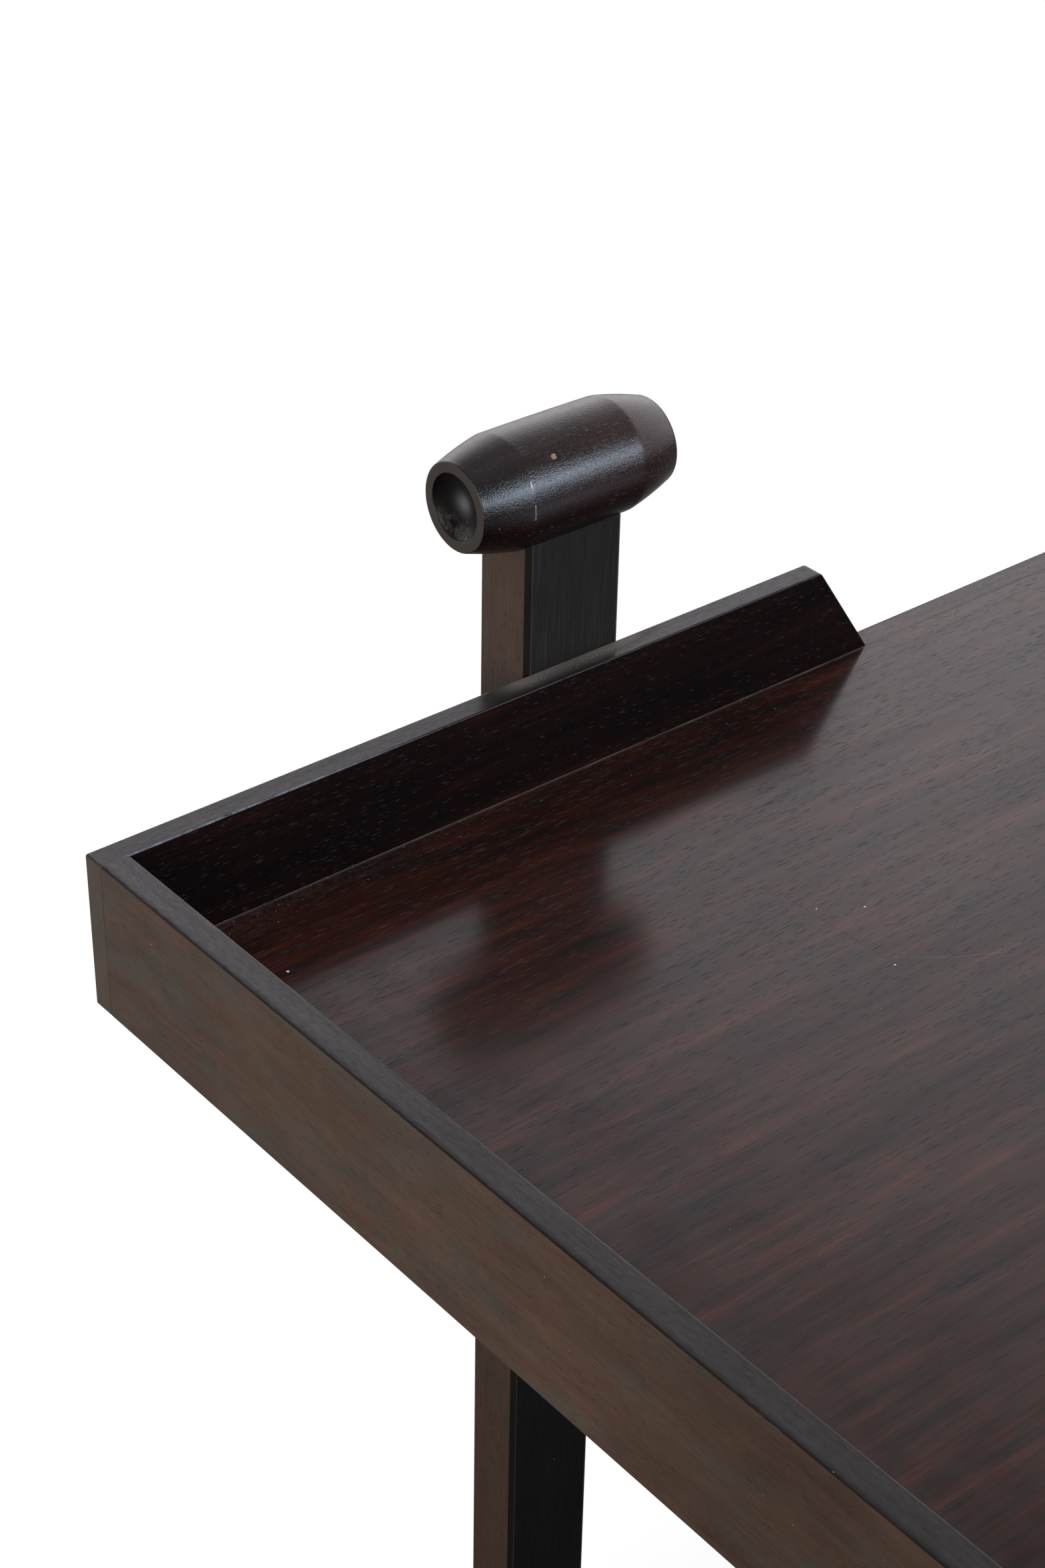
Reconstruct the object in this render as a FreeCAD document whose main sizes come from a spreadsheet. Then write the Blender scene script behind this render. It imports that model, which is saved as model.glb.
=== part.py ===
"""Serving trolley: two rosewood trays on four posts, each with a turned grip on top and a caster below.

Millimetres, +Z up. The origin is on the floor, under the middle of the trays. X runs along the trays and
Y across them. The front end is at -X, the left side at +Y.
"""

import FreeCAD, Part
import math
import os
import Sketcher

Vector = FreeCAD.Vector

doc = FreeCAD.newDocument("serving_trolley")

# Driving dimensions
sizes = {
    # trays
    "tray_length": 900.0,
    "tray_width": 480.0,
    "side_thick": 10.5,
    "end_thick": 12.0,
    "corner_fit": 0.03,  # end board to side board
    "upper_rim_top": 735.0,  # above the floor
    "upper_rim": 45.0,  # rim top down to the deck
    "lower_rim": 25.0,
    "lower_lift": 7.0,  # lower tray above the feet of the posts
    "notch_width": 136.6,  # cut-down middle of a side board, at the deck
    "notch_angle": 55.7,  # slanted ends of the cut, degrees
    "notch_round": 3.0,  # rounding at the top of a slant
    "arris": 1.0,  # rounding of the outer edges of the boards
    "inner_arris": 0.7,  # rounding of the inner top edges of the boards
    "deck_thick": 16.0,
    "deck_recess": 4.0,  # boards below the deck's underside
    "deck_fit": 0.05,  # deck edge to board, all round
    "tongue_thick": 6.0,
    "tongue_reach": 5.0,
    "groove_fit": 0.1,  # tongue to groove
    # posts
    "post_wide": 48.0,  # along X
    "post_thick": 30.0,  # along Y
    "post_chamfer": 2.0,
    "post_from_end": 225.0,  # tray end to the post's middle
    # grips
    "grip_above_rim": 74.8,  # axis above the upper rim
    "grip_barrel_half": 27.0,  # middle to shoulder
    "grip_cone": 21.0,  # length of a coned end
    "grip_middle_radius": 23.6,
    "grip_crown": 0.15,  # middle radius less shoulder radius
    "grip_cone_bulge": 0.4,
    "grip_end_ring": 4.7,  # flat ring round the dish
    "grip_end_round": 0.8,
    "grip_seat_fit": 0.1,  # grip to the coped top of its post
    "dish_radius": 13.5,
    "dish_wall": 0.6,
    "dish_corner": 2.4,
    "dish_sag": 2.0,  # hollow of the dish's bottom
    # dowels
    "dowel_fit": 0.1,  # dowel to its hole
    "dowel_chamfer": 0.8,
    "grip_dowel_radius": 5.0,
    "grip_dowel_in_post": 24.0,  # below the seat
    "grip_dowel_in_grip": 26.0,  # above the seat
    "post_dowel_radius": 4.0,
    "post_dowel_pitch": 24.0,
    "post_dowel_skin": 12.0,  # wood left between the dowel and the post's outer face
    "post_dowel_in_deck": 20.0,  # past the side board's inner face
    "corner_dowel_radius": 3.0,
    "corner_dowel_skin": 3.5,  # wood left between the dowel and the side board's outer face
    "corner_dowel_in_end": 28.0,
    # casters
    "wheel_radius": 28.0,
    "wheel_room": 7.3,  # tyre to the fork's crown
    "tyre_width": 20.0,
    "tyre_thick": 7.5,
    "tyre_round": 4.0,
    "tyre_fit": 0.05,  # tyre to core
    "core_rim": 3.5,
    "core_web": 6.0,
    "core_lip": 1.5,  # tyre edge to the core's rim edge
    "hub_radius": 8.0,
    "hub_stand": 1.0,  # hub end beyond the tyre
    "hub_play": 0.4,  # hub to fork, each side
    "hub_fit": 0.08,  # hub to axle
    "axle_radius": 3.0,
    "axle_head_lip": 2.5,
    "axle_head_thick": 2.2,
    "axle_fit": 0.05,  # axle to fork
    "trail": 22.0,  # stem axis to axle
    "boss_radius": 8.5,  # fork's end round the axle
    "fork_top_half": 14.0,  # fork's crown, before and behind the stem
    "fork_wall": 2.5,
    "fork_crown": 3.0,
    "fork_skirt": 7.0,  # straight fall of the crown's front and back edges
    "fork_round": 1.6,  # outer top edges of the fork
    "stem_radius": 5.0,
    "stem_tip": 2.0,  # cone at the stem's end
    "stem_short": 2.0,  # stem's end below the socket's
    "stem_head_lip": 3.0,
    "stem_head_thick": 2.5,
    "stem_eye_fit": 0.05,  # stem to fork
    "stem_fit": 0.05,  # stem to socket
    "washer_radius": 10.5,
    "washer_thick": 1.5,
    "washer_fit": 0.2,  # washer to stem
    "washer_play": 0.2,  # washer to flange
    "socket_wall": 2.0,
    "socket_length": 36.0,
    "socket_room": 2.0,  # hole in the post beyond the socket
    "socket_fit": 0.05,  # socket to its hole in the post
    "flange_radius": 13.0,
    "flange_thick": 2.0,
}

sheet = doc.addObject("Spreadsheet::Sheet", "dims")
for row, (alias, value) in enumerate(sizes.items(), start=1):
    sheet.set(f"A{row}", alias)
    sheet.set(f"B{row}", str(value))
    sheet.setAlias(f"B{row}", alias)
doc.recompute()


def d(name):
    return f"dims.{name}"


# Sizes and places that several pieces share, as expressions of the driving dimensions
half_length = "dims.tray_length / 2"
half_width = "dims.tray_width / 2"
inner_length = "(dims.tray_length - 2 * dims.end_thick)"
inner_width = "(dims.tray_width - 2 * dims.side_thick)"
lip = "(dims.deck_thick + dims.deck_recess)"
post_x = "(dims.tray_length / 2 - dims.post_from_end)"
post_y = "(dims.tray_width / 2 + dims.post_thick / 2)"
post_dowel_in_post = "(dims.post_thick - dims.post_dowel_skin)"
corner_dowel_in_side = "(dims.side_thick - dims.corner_dowel_skin)"
grip_z = "(dims.upper_rim_top + dims.grip_above_rim)"
seat_z = f"({grip_z} - dims.grip_middle_radius)"
shoulder_radius = "(dims.grip_middle_radius - dims.grip_crown)"
hub_half = "(dims.tyre_width / 2 + dims.hub_stand)"
fork_gap_half = f"({hub_half} + dims.hub_play)"
fork_half = f"({fork_gap_half} + dims.fork_wall)"
fork_top = "(2 * dims.wheel_radius + dims.wheel_room + dims.fork_crown)"
post_foot = f"({fork_top} + dims.washer_thick + dims.washer_play + dims.flange_thick)"
socket_radius = "(dims.stem_radius + dims.stem_fit + dims.socket_wall)"
core_radius = "(dims.wheel_radius - dims.tyre_thick)"
lower_rim_top = f"({post_foot} + dims.lower_lift + {lip} + dims.lower_rim)"
rim_tops = {"upper": "dims.upper_rim_top", "lower": lower_rim_top}
tiers = ("upper", "lower")
ends = {"front": -1, "rear": 1}
sides = {"left": 1, "right": -1}
corners = [(end, side) for end in ends for side in sides]


def board_height(tier):
    return f"(dims.{tier}_rim + {lip})"


def board_foot(tier):
    return f"({rim_tops[tier]} - {board_height(tier)})"


def deck_mid(tier):
    return f"({rim_tops[tier]} - dims.{tier}_rim - dims.deck_thick / 2)"


def corner_dowel_heights(tier):
    # a quarter of the rim's height above the deck and below the rim's top, from the boards' lower edge
    return [f"({lip} + {part} * dims.{tier}_rim)" for part in (0.25, 0.75)]


def post_dowel_places():
    # along X, two at each post
    return [f"{end} * {post_x} + {step} * dims.post_dowel_pitch" for end in (-1, 1) for step in (-0.5, 0.5)]


def arc_radius(half_chord, rise):
    # radius of an arc from half its chord and its rise
    return f"(({half_chord}) ^ 2 + ({rise}) ^ 2) / (2 * ({rise}))"


# Sketches and features

def new_body(name, x="0", y="0", z="0", turn=0.0):
    body = doc.addObject("PartDesign::Body", name)
    body.Label = name
    body.Placement = FreeCAD.Placement(Vector(), FreeCAD.Rotation(Vector(0, 0, 1), turn))
    for axis, place in zip("xyz", (x, y, z)):
        body.setExpression(f"Placement.Base.{axis}", place)
    return body


def sketch_on(body, role, lift="0", rise="0"):
    # a sketch on one of the body's own planes, moved along its normal by lift and up in it by rise
    sketch = body.newObject("Sketcher::SketchObject", f"{body.Name}_sketch")
    support = next(item for item in body.Origin.OriginFeatures if item.Role == role)
    sketch.AttachmentSupport = [(support, "")]
    sketch.MapMode = "FlatFace"
    sketch.setExpression("AttachmentOffset.Base.y", rise)
    sketch.setExpression("AttachmentOffset.Base.z", lift)
    return sketch


def number(sketch, expression):
    return float(sketch.evalExpression(expression))


def bind(sketch, constraint, expression):
    index = sketch.addConstraint(constraint)
    sketch.setExpression(f"Constraints[{index}]", expression)


def place_point(sketch, item, end, x, y):
    for kind, axis, expression in (("DistanceX", -2, x), ("DistanceY", -1, y)):
        if expression == "0":
            sketch.addConstraint(Sketcher.Constraint("PointOnObject", item, end, axis))
        else:
            value = number(sketch, expression)
            bind(sketch, Sketcher.Constraint(kind, -1, 1, item, end, value), expression)


def circle(sketch, x, y, radius):
    middle = Vector(number(sketch, x), number(sketch, y), 0)
    item = sketch.addGeometry(Part.Circle(middle, Vector(0, 0, 1), number(sketch, radius)))
    place_point(sketch, item, 3, x, y)
    bind(sketch, Sketcher.Constraint("Radius", item, number(sketch, radius)), radius)


def bulged(start, stop, radius):
    # an arc that bulges to the right of the way it goes, or to the left for a negative radius
    chord = stop - start
    half = chord.Length / 2
    rise = abs(radius) - math.sqrt(max(radius * radius - half * half, 0.0))
    across = Vector(chord.y, -chord.x, 0).normalize() * math.copysign(rise, radius)
    middle = (start + stop) / 2 + across
    return Part.Arc(start, middle, stop) if radius > 0 else Part.Arc(stop, middle, start)


def outline(sketch, nodes):
    """A closed outline. A node is (x, y), or (x, y, radius) where an arc arrives there."""
    points = [Vector(number(sketch, node[0]), number(sketch, node[1]), 0) for node in nodes]
    items = []
    for index, node in enumerate(nodes):
        start, stop = points[index - 1], points[index]
        if len(node) == 2:
            item = sketch.addGeometry(Part.LineSegment(start, stop))
        else:
            item = sketch.addGeometry(bulged(start, stop, number(sketch, node[2])))
        made = sketch.Geometry[item]
        begins = 1 if made.StartPoint.distanceToPoint(start) < made.EndPoint.distanceToPoint(start) else 2
        items.append((item, begins, 3 - begins))
    for index, node in enumerate(nodes):
        item, begins, stops = items[index]
        follower, follows, _ = items[(index + 1) % len(nodes)]
        sketch.addConstraint(Sketcher.Constraint("Coincident", item, stops, follower, follows))
        place_point(sketch, item, stops, node[0], node[1])
        if len(node) == 3:
            radius = number(sketch, node[2])
            size = node[2] if radius > 0 else f"-({node[2]})"
            bind(sketch, Sketcher.Constraint("Radius", item, abs(radius)), size)


def rectangle(sketch, left, low, right, high):
    outline(sketch, [(left, low), (right, low), (right, high), (left, high)])


def extrude(body, kind, sketch, length, symmetric=False, reverse=False):
    before = body.Shape.Volume if body.Tip else 0.0
    feature = body.newObject(f"PartDesign::{kind}", f"{sketch.Name}_{kind.lower()}")
    feature.Profile = sketch
    feature.setExpression("Length", length)
    feature.SideType = "Symmetric" if symmetric else "One side"
    feature.Reversed = reverse
    doc.recompute()
    change = body.Shape.Volume - before
    if (change > 0) != (kind == "Pad"):
        raise ValueError(f"{feature.Name} changed the volume by {change}")
    return feature


def revolve(body, kind, sketch):
    # about the sketch's own horizontal axis
    before = body.Shape.Volume if body.Tip else 0.0
    feature = body.newObject(f"PartDesign::{kind}", f"{sketch.Name}_{kind.lower()}")
    feature.Profile = sketch
    feature.ReferenceAxis = (sketch, ["H_Axis"])
    feature.Angle = 360
    doc.recompute()
    change = body.Shape.Volume - before
    if (change > 0) != (kind == "Revolution"):
        raise ValueError(f"{feature.Name} changed the volume by {change}")
    return feature


def dress(body, kind, size, wanted):
    """A fillet or chamfer on every edge of the body's tip that the function wanted picks."""
    tip = body.Tip
    edges = [f"Edge{index}" for index, edge in enumerate(tip.Shape.Edges, start=1) if wanted(edge)]
    if not edges:
        raise ValueError(f"{body.Name} has no edge to dress")
    feature = body.newObject(f"PartDesign::{kind}", f"{body.Name}_{kind.lower()}")
    feature.Base = (tip, edges)
    feature.setExpression("Radius" if kind == "Fillet" else "Size", size)
    doc.recompute()
    return feature


def near(first, second):
    return abs(first - second) < 0.001


def spans(edge, axis, place):
    # true if the whole edge lies at this place along the axis
    box = edge.BoundBox
    low, high = getattr(box, f"{axis}Min"), getattr(box, f"{axis}Max")
    return near(low, place) and near(high, place)


# Trays

def groove_band():
    middle = f"({lip} - dims.deck_thick / 2)"
    reach = "(dims.tongue_thick / 2 + dims.groove_fit)"
    return f"{middle} - {reach}", f"{middle} + {reach}"


def side_board(tier, side):
    """Raised at both ends, cut down to the deck in the middle. Its inner face is at y = 0."""
    inner_y = f"{sides[side]} * {inner_width} / 2"
    turn = 0 if sides[side] > 0 else 180
    body = new_body(f"{tier}_{side}_side_board", y=inner_y, z=board_foot(tier), turn=turn)
    top = board_height(tier)
    foot = "(dims.notch_width / 2)"
    brow = f"({foot} + dims.{tier}_rim / tan(dims.notch_angle * 1 deg))"
    face = sketch_on(body, "XZ_Plane")
    outline(face, [
        (f"-{half_length}", "0"), (half_length, "0"), (half_length, top), (brow, top),
        (foot, lip), (f"-{foot}", lip), (f"-{brow}", top), (f"-{half_length}", top),
    ])
    extrude(body, "Pad", face, d("side_thick"), reverse=True)

    groove = sketch_on(body, "XZ_Plane")
    low, high = groove_band()
    rectangle(groove, f"-{inner_length} / 2", low, f"{inner_length} / 2", high)
    extrude(body, "Pocket", groove, "dims.tongue_reach + dims.groove_fit")

    holes = sketch_on(body, "XZ_Plane")
    for along in post_dowel_places():
        circle(holes, along, f"{lip} - dims.deck_thick / 2", "dims.post_dowel_radius + dims.dowel_fit")
    extrude(body, "Pocket", holes, d("side_thick"))

    blind = sketch_on(body, "XZ_Plane")
    for end in (-1, 1):
        for height in corner_dowel_heights(tier):
            along = f"{end} * ({half_length} - dims.end_thick / 2)"
            circle(blind, along, height, "dims.corner_dowel_radius + dims.dowel_fit")
    extrude(body, "Pocket", blind, f"{corner_dowel_in_side} + dims.dowel_fit")

    top_z, lip_z = number(face, top), number(face, lip)
    brow_x, end_x = number(face, brow), number(face, half_length)
    outside_y = number(face, d("side_thick"))

    def brow_edge(edge):
        return spans(edge, "Z", top_z) and (spans(edge, "X", brow_x) or spans(edge, "X", -brow_x))

    dress(body, "Fillet", d("notch_round"), brow_edge)

    def arris_edge(edge):
        # on the raised ends: the outer edges of the rim, slants and corners, and the tops of the end faces
        at_end = spans(edge, "X", end_x) or spans(edge, "X", -end_x)
        raised = edge.BoundBox.ZMax > lip_z + 1 and edge.BoundBox.XLength > 0.001
        return (spans(edge, "Y", outside_y) and (raised or at_end)) or (at_end and spans(edge, "Z", top_z))

    dress(body, "Fillet", d("arris"), arris_edge)
    dress(body, "Fillet", d("inner_arris"), lambda edge: spans(edge, "Y", 0) and spans(edge, "Z", top_z))
    return body


def end_board(tier, end):
    """Stands between the side boards. Its inner face is at x = 0."""
    inner_x = f"{ends[end]} * {inner_length} / 2"
    turn = 0 if ends[end] > 0 else 180
    body = new_body(f"{tier}_{end}_end_board", x=inner_x, z=board_foot(tier), turn=turn)
    half = f"({inner_width} / 2 - dims.corner_fit)"
    top = board_height(tier)
    face = sketch_on(body, "YZ_Plane")
    rectangle(face, f"-{half}", "0", half, top)
    extrude(body, "Pad", face, d("end_thick"))

    groove = sketch_on(body, "YZ_Plane")
    low, high = groove_band()
    rectangle(groove, f"-{half}", low, half, high)
    extrude(body, "Pocket", groove, "dims.tongue_reach + dims.groove_fit", reverse=True)

    for way in (-1, 1):
        blind = sketch_on(body, "XZ_Plane", lift=f"{way} * {half}")
        for height in corner_dowel_heights(tier):
            circle(blind, "dims.end_thick / 2", height, "dims.corner_dowel_radius + dims.dowel_fit")
        extrude(body, "Pocket", blind, "dims.corner_dowel_in_end", reverse=way < 0)

    top_z, outside_x = number(face, top), number(face, d("end_thick"))
    for size, place in ((d("arris"), outside_x), (d("inner_arris"), 0)):
        dress(body, "Fillet", size, lambda edge: spans(edge, "Z", top_z) and spans(edge, "X", place))
    return body


def deck(tier):
    """The tray's floor, tongued into the boards all round."""
    body = new_body(f"{tier}_deck", z=deck_mid(tier))
    long_half = f"({inner_length} / 2 - dims.deck_fit)"
    wide_half = f"({inner_width} / 2 - dims.deck_fit)"
    plate = sketch_on(body, "XY_Plane")
    rectangle(plate, f"-{long_half}", f"-{wide_half}", long_half, wide_half)
    extrude(body, "Pad", plate, d("deck_thick"), symmetric=True)
    reach = "(dims.tongue_reach + dims.deck_fit)"
    for long_more, wide_more in ((reach, "0"), ("0", reach)):
        tongue = sketch_on(body, "XY_Plane")
        along = f"({long_half} + {long_more})"
        across = f"({wide_half} + {wide_more})"
        rectangle(tongue, f"-{along}", f"-{across}", along, across)
        extrude(body, "Pad", tongue, d("tongue_thick"), symmetric=True)
    for way in (-1, 1):
        holes = sketch_on(body, "XZ_Plane", lift=f"{way} * ({inner_width} / 2 + dims.tongue_reach)")
        for along in post_dowel_places():
            circle(holes, along, "0", "dims.post_dowel_radius + dims.dowel_fit")
        depth = "dims.tongue_reach + dims.post_dowel_in_deck + dims.dowel_fit"
        extrude(body, "Pocket", holes, depth, reverse=way < 0)
    return body


# Posts and grips

def corner_body(name, end, side, trail="0", z="0", turn=0):
    # a piece in line with one of the posts
    x = f"{ends[end]} * {post_x} - {trail}"
    return new_body(f"{name}_{end}_{side}", x=x, y=f"{sides[side]} * {post_y}", z=z, turn=turn)


def post(end, side):
    """Straight, with chamfered edges, coped at the top to the crowned middle of the grip."""
    body = corner_body("post", end, side, turn=0 if sides[side] > 0 else 180)
    half_wide = "dims.post_wide / 2"
    half_thick = "dims.post_thick / 2"
    section = sketch_on(body, "XY_Plane", lift=post_foot)
    rectangle(section, f"-{half_wide}", f"-{half_thick}", half_wide, half_thick)
    extrude(body, "Pad", section, f"{grip_z} - {post_foot}")
    dress(body, "Chamfer", d("post_chamfer"), lambda edge: edge.BoundBox.ZLength > 1)

    cope = sketch_on(body, "XZ_Plane", rise=grip_z)
    shoulder = d("grip_barrel_half")
    crown = arc_radius(shoulder, d("grip_crown"))
    seat_side = f"-({shoulder_radius} + dims.grip_seat_fit)"
    outline(cope, [
        (f"-{shoulder}", "0"), (f"-{shoulder}", seat_side), (shoulder, seat_side, crown), (shoulder, "0"),
    ])
    revolve(body, "Groove", cope)

    upright = sketch_on(body, "XY_Plane", lift=grip_z)
    circle(upright, "0", "0", "dims.grip_dowel_radius + dims.dowel_fit")
    extrude(body, "Pocket", upright, "dims.grip_middle_radius + dims.grip_dowel_in_post + dims.dowel_fit")

    level = sketch_on(body, "XZ_Plane", lift=half_thick)
    for tier in tiers:
        for step in (-0.5, 0.5):
            along = f"{step} * dims.post_dowel_pitch"
            circle(level, along, deck_mid(tier), "dims.post_dowel_radius + dims.dowel_fit")
    extrude(body, "Pocket", level, f"{post_dowel_in_post} + dims.dowel_fit")

    foot = sketch_on(body, "XY_Plane", lift=post_foot)
    circle(foot, "0", "0", f"{socket_radius} + dims.socket_fit")
    extrude(body, "Pocket", foot, "dims.socket_length + dims.socket_room", reverse=True)
    return body


def grip(end, side):
    """A turned barrel along X: a slightly crowned middle, coned ends, a dish in each end."""
    body = corner_body("grip", end, side, z=grip_z)
    shoulder = d("grip_barrel_half")
    tip = f"({shoulder} + dims.grip_cone)"
    end_radius = "(dims.dish_radius + dims.grip_end_ring)"
    bottom = f"({tip} - dims.dish_wall - dims.dish_corner - dims.dish_sag)"
    turn_in = f"({tip} - dims.dish_wall - dims.dish_corner)"
    wall_end = f"({tip} - dims.dish_wall)"
    flat = "(dims.dish_radius - dims.dish_corner)"
    hollow = f"-({arc_radius(flat, d('dish_sag'))})"
    slope = f"(dims.grip_cone ^ 2 + ({shoulder_radius} - {end_radius}) ^ 2) ^ 0.5"
    bulge = arc_radius(f"{slope} / 2", d("grip_cone_bulge"))
    crown = arc_radius(shoulder, d("grip_crown"))
    profile = sketch_on(body, "XZ_Plane")
    outline(profile, [
        (bottom, "0"), (turn_in, flat, hollow), (wall_end, d("dish_radius"), "-dims.dish_corner"),
        (tip, d("dish_radius")), (tip, end_radius), (shoulder, shoulder_radius, bulge),
        (f"-{shoulder}", shoulder_radius, crown), (f"-{tip}", end_radius, bulge),
        (f"-{tip}", d("dish_radius")), (f"-{wall_end}", d("dish_radius")),
        (f"-{turn_in}", flat, "-dims.dish_corner"), (f"-{bottom}", "0", hollow),
    ])
    revolve(body, "Revolution", profile)
    tip_x, ring = number(profile, tip), number(profile, end_radius)

    def end_ring(edge):
        return (spans(edge, "X", tip_x) or spans(edge, "X", -tip_x)) and near(edge.BoundBox.ZMax, ring)

    dress(body, "Fillet", d("grip_end_round"), end_ring)
    upright = sketch_on(body, "XY_Plane", lift="-dims.grip_middle_radius")
    circle(upright, "0", "0", "dims.grip_dowel_radius + dims.dowel_fit")
    extrude(body, "Pocket", upright, "dims.grip_dowel_in_grip + dims.dowel_fit", reverse=True)
    return body


# Dowels, each group one node of separate pegs

def chamfer_pegs(body):
    dress(body, "Chamfer", d("dowel_chamfer"), lambda edge: edge.Closed)


def grip_dowels():
    body = new_body("grip_dowels", z=f"{seat_z} - dims.grip_dowel_in_post")
    ring = sketch_on(body, "XY_Plane")
    for end, side in corners:
        circle(ring, f"{ends[end]} * {post_x}", f"{sides[side]} * {post_y}", d("grip_dowel_radius"))
    extrude(body, "Pad", ring, "dims.grip_dowel_in_post + dims.grip_dowel_in_grip")
    chamfer_pegs(body)
    return body


def post_dowels(tier):
    """Through the side boards, from the posts into the edges of the deck."""
    body = new_body(f"{tier}_post_dowels", z=deck_mid(tier))
    for way in (-1, 1):
        ring = sketch_on(body, "XZ_Plane", lift=f"{way} * ({half_width} + {post_dowel_in_post})")
        for along in post_dowel_places():
            circle(ring, along, "0", d("post_dowel_radius"))
        length = f"{post_dowel_in_post} + dims.side_thick + dims.post_dowel_in_deck"
        extrude(body, "Pad", ring, length, reverse=way > 0)
    chamfer_pegs(body)
    return body


def corner_dowels(tier):
    """From blind holes in the side boards into the ends of the end boards."""
    body = new_body(f"{tier}_corner_dowels", z=board_foot(tier))
    for way in (-1, 1):
        ring = sketch_on(body, "XZ_Plane", lift=f"{way} * ({inner_width} / 2 + {corner_dowel_in_side})")
        for end in (-1, 1):
            along = f"{end} * ({half_length} - dims.end_thick / 2)"
            for height in corner_dowel_heights(tier):
                circle(ring, along, height, d("corner_dowel_radius"))
        length = f"{corner_dowel_in_side} + dims.corner_fit + dims.corner_dowel_in_end - dims.dowel_fit"
        extrude(body, "Pad", ring, length, reverse=way > 0)
    chamfer_pegs(body)
    return body


# Casters

def turn_upright(body, nodes):
    # a profile turned about the upright axis: each node is (height, radius)
    sketch = sketch_on(body, "XZ_Plane")
    sketch.AttachmentOffset = FreeCAD.Placement(Vector(), FreeCAD.Rotation(Vector(0, 0, 1), 90))
    outline(sketch, nodes)
    revolve(body, "Revolution", sketch)


def turn_across(body, nodes):
    # a profile turned about the axle's line: each node is (place along Y, radius)
    sketch = sketch_on(body, "YZ_Plane")
    outline(sketch, nodes)
    revolve(body, "Revolution", sketch)


def caster_socket(end, side):
    """A flanged sleeve in the foot of the post."""
    body = corner_body("caster_socket", end, side, z=post_foot)
    bore = "(dims.stem_radius + dims.stem_fit)"
    turn_upright(body, [
        ("-dims.flange_thick", bore), (d("socket_length"), bore), (d("socket_length"), socket_radius),
        ("0", socket_radius), ("0", d("flange_radius")), ("-dims.flange_thick", d("flange_radius")),
    ])
    return body


def caster_washer(end, side):
    body = corner_body("caster_washer", end, side, z=fork_top)
    bore = "(dims.stem_radius + dims.washer_fit)"
    thick = d("washer_thick")
    turn_upright(body, [
        ("0", bore), (thick, bore), (thick, d("washer_radius")), ("0", d("washer_radius")),
    ])
    return body


def caster_stem(end, side):
    """A pin that turns in the socket, riveted under the fork's crown."""
    body = corner_body("caster_stem", end, side, z=f"{fork_top} - dims.fork_crown")
    above = f"({post_foot} - {fork_top} + dims.fork_crown)"
    shank = f"({above} + dims.socket_length - dims.stem_short)"
    head = "(dims.stem_radius + dims.stem_head_lip)"
    turn_upright(body, [
        ("-dims.stem_head_thick", "0"), (shank, "0"), (shank, "(dims.stem_radius - dims.stem_tip)"),
        (f"({shank} - dims.stem_tip)", d("stem_radius")), ("0", d("stem_radius")), ("0", head),
        ("-dims.stem_head_thick / 2", head), ("-dims.stem_head_thick", d("stem_radius")),
    ])
    return body


def fork_side(sketch):
    """The fork's side outline: a square crown and two edges that run tangent into a round end at the axle."""
    half = number(sketch, d("fork_top_half"))
    top = number(sketch, fork_top)
    fall = number(sketch, f"{fork_top} - dims.fork_skirt")
    boss = Vector(-number(sketch, d("trail")), number(sketch, d("wheel_radius")), 0)
    radius = number(sketch, d("boss_radius"))

    def touch(corner, way):
        # where a line from the corner touches the round end
        run = boss - corner
        lean = math.atan2(run.y, run.x) + way * math.asin(radius / run.Length)
        return corner + Vector(math.cos(lean), math.sin(lean), 0) * math.sqrt(run.Length ** 2 - radius ** 2)

    front, back = Vector(half, fall, 0), Vector(-half, fall, 0)
    front_top, back_top = Vector(half, top, 0), Vector(-half, top, 0)
    front_touch, back_touch = touch(front, 1), touch(back, -1)
    low = boss + (boss - (front + back) / 2).normalize() * radius
    upper_lines = ((back, back_top), (back_top, front_top), (front_top, front))
    lines = (*upper_lines, (front, front_touch), (back_touch, back))
    rise, crown, drop, fore, aft = (sketch.addGeometry(Part.LineSegment(*line)) for line in lines)
    nose = sketch.addGeometry(Part.Arc(back_touch, low, front_touch))
    for first, second in ((rise, crown), (crown, drop), (drop, fore), (aft, rise)):
        sketch.addConstraint(Sketcher.Constraint("Coincident", first, 2, second, 1))
    sketch.addConstraint(Sketcher.Constraint("Tangent", fore, 2, nose, 2))
    sketch.addConstraint(Sketcher.Constraint("Tangent", aft, 1, nose, 1))
    skirt = f"{fork_top} - dims.fork_skirt"
    place_point(sketch, rise, 1, "-dims.fork_top_half", skirt)
    place_point(sketch, crown, 1, "-dims.fork_top_half", fork_top)
    place_point(sketch, drop, 1, d("fork_top_half"), fork_top)
    place_point(sketch, fore, 1, d("fork_top_half"), skirt)
    place_point(sketch, nose, 3, "-dims.trail", d("wheel_radius"))
    bind(sketch, Sketcher.Constraint("Radius", nose, radius), d("boss_radius"))


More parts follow.
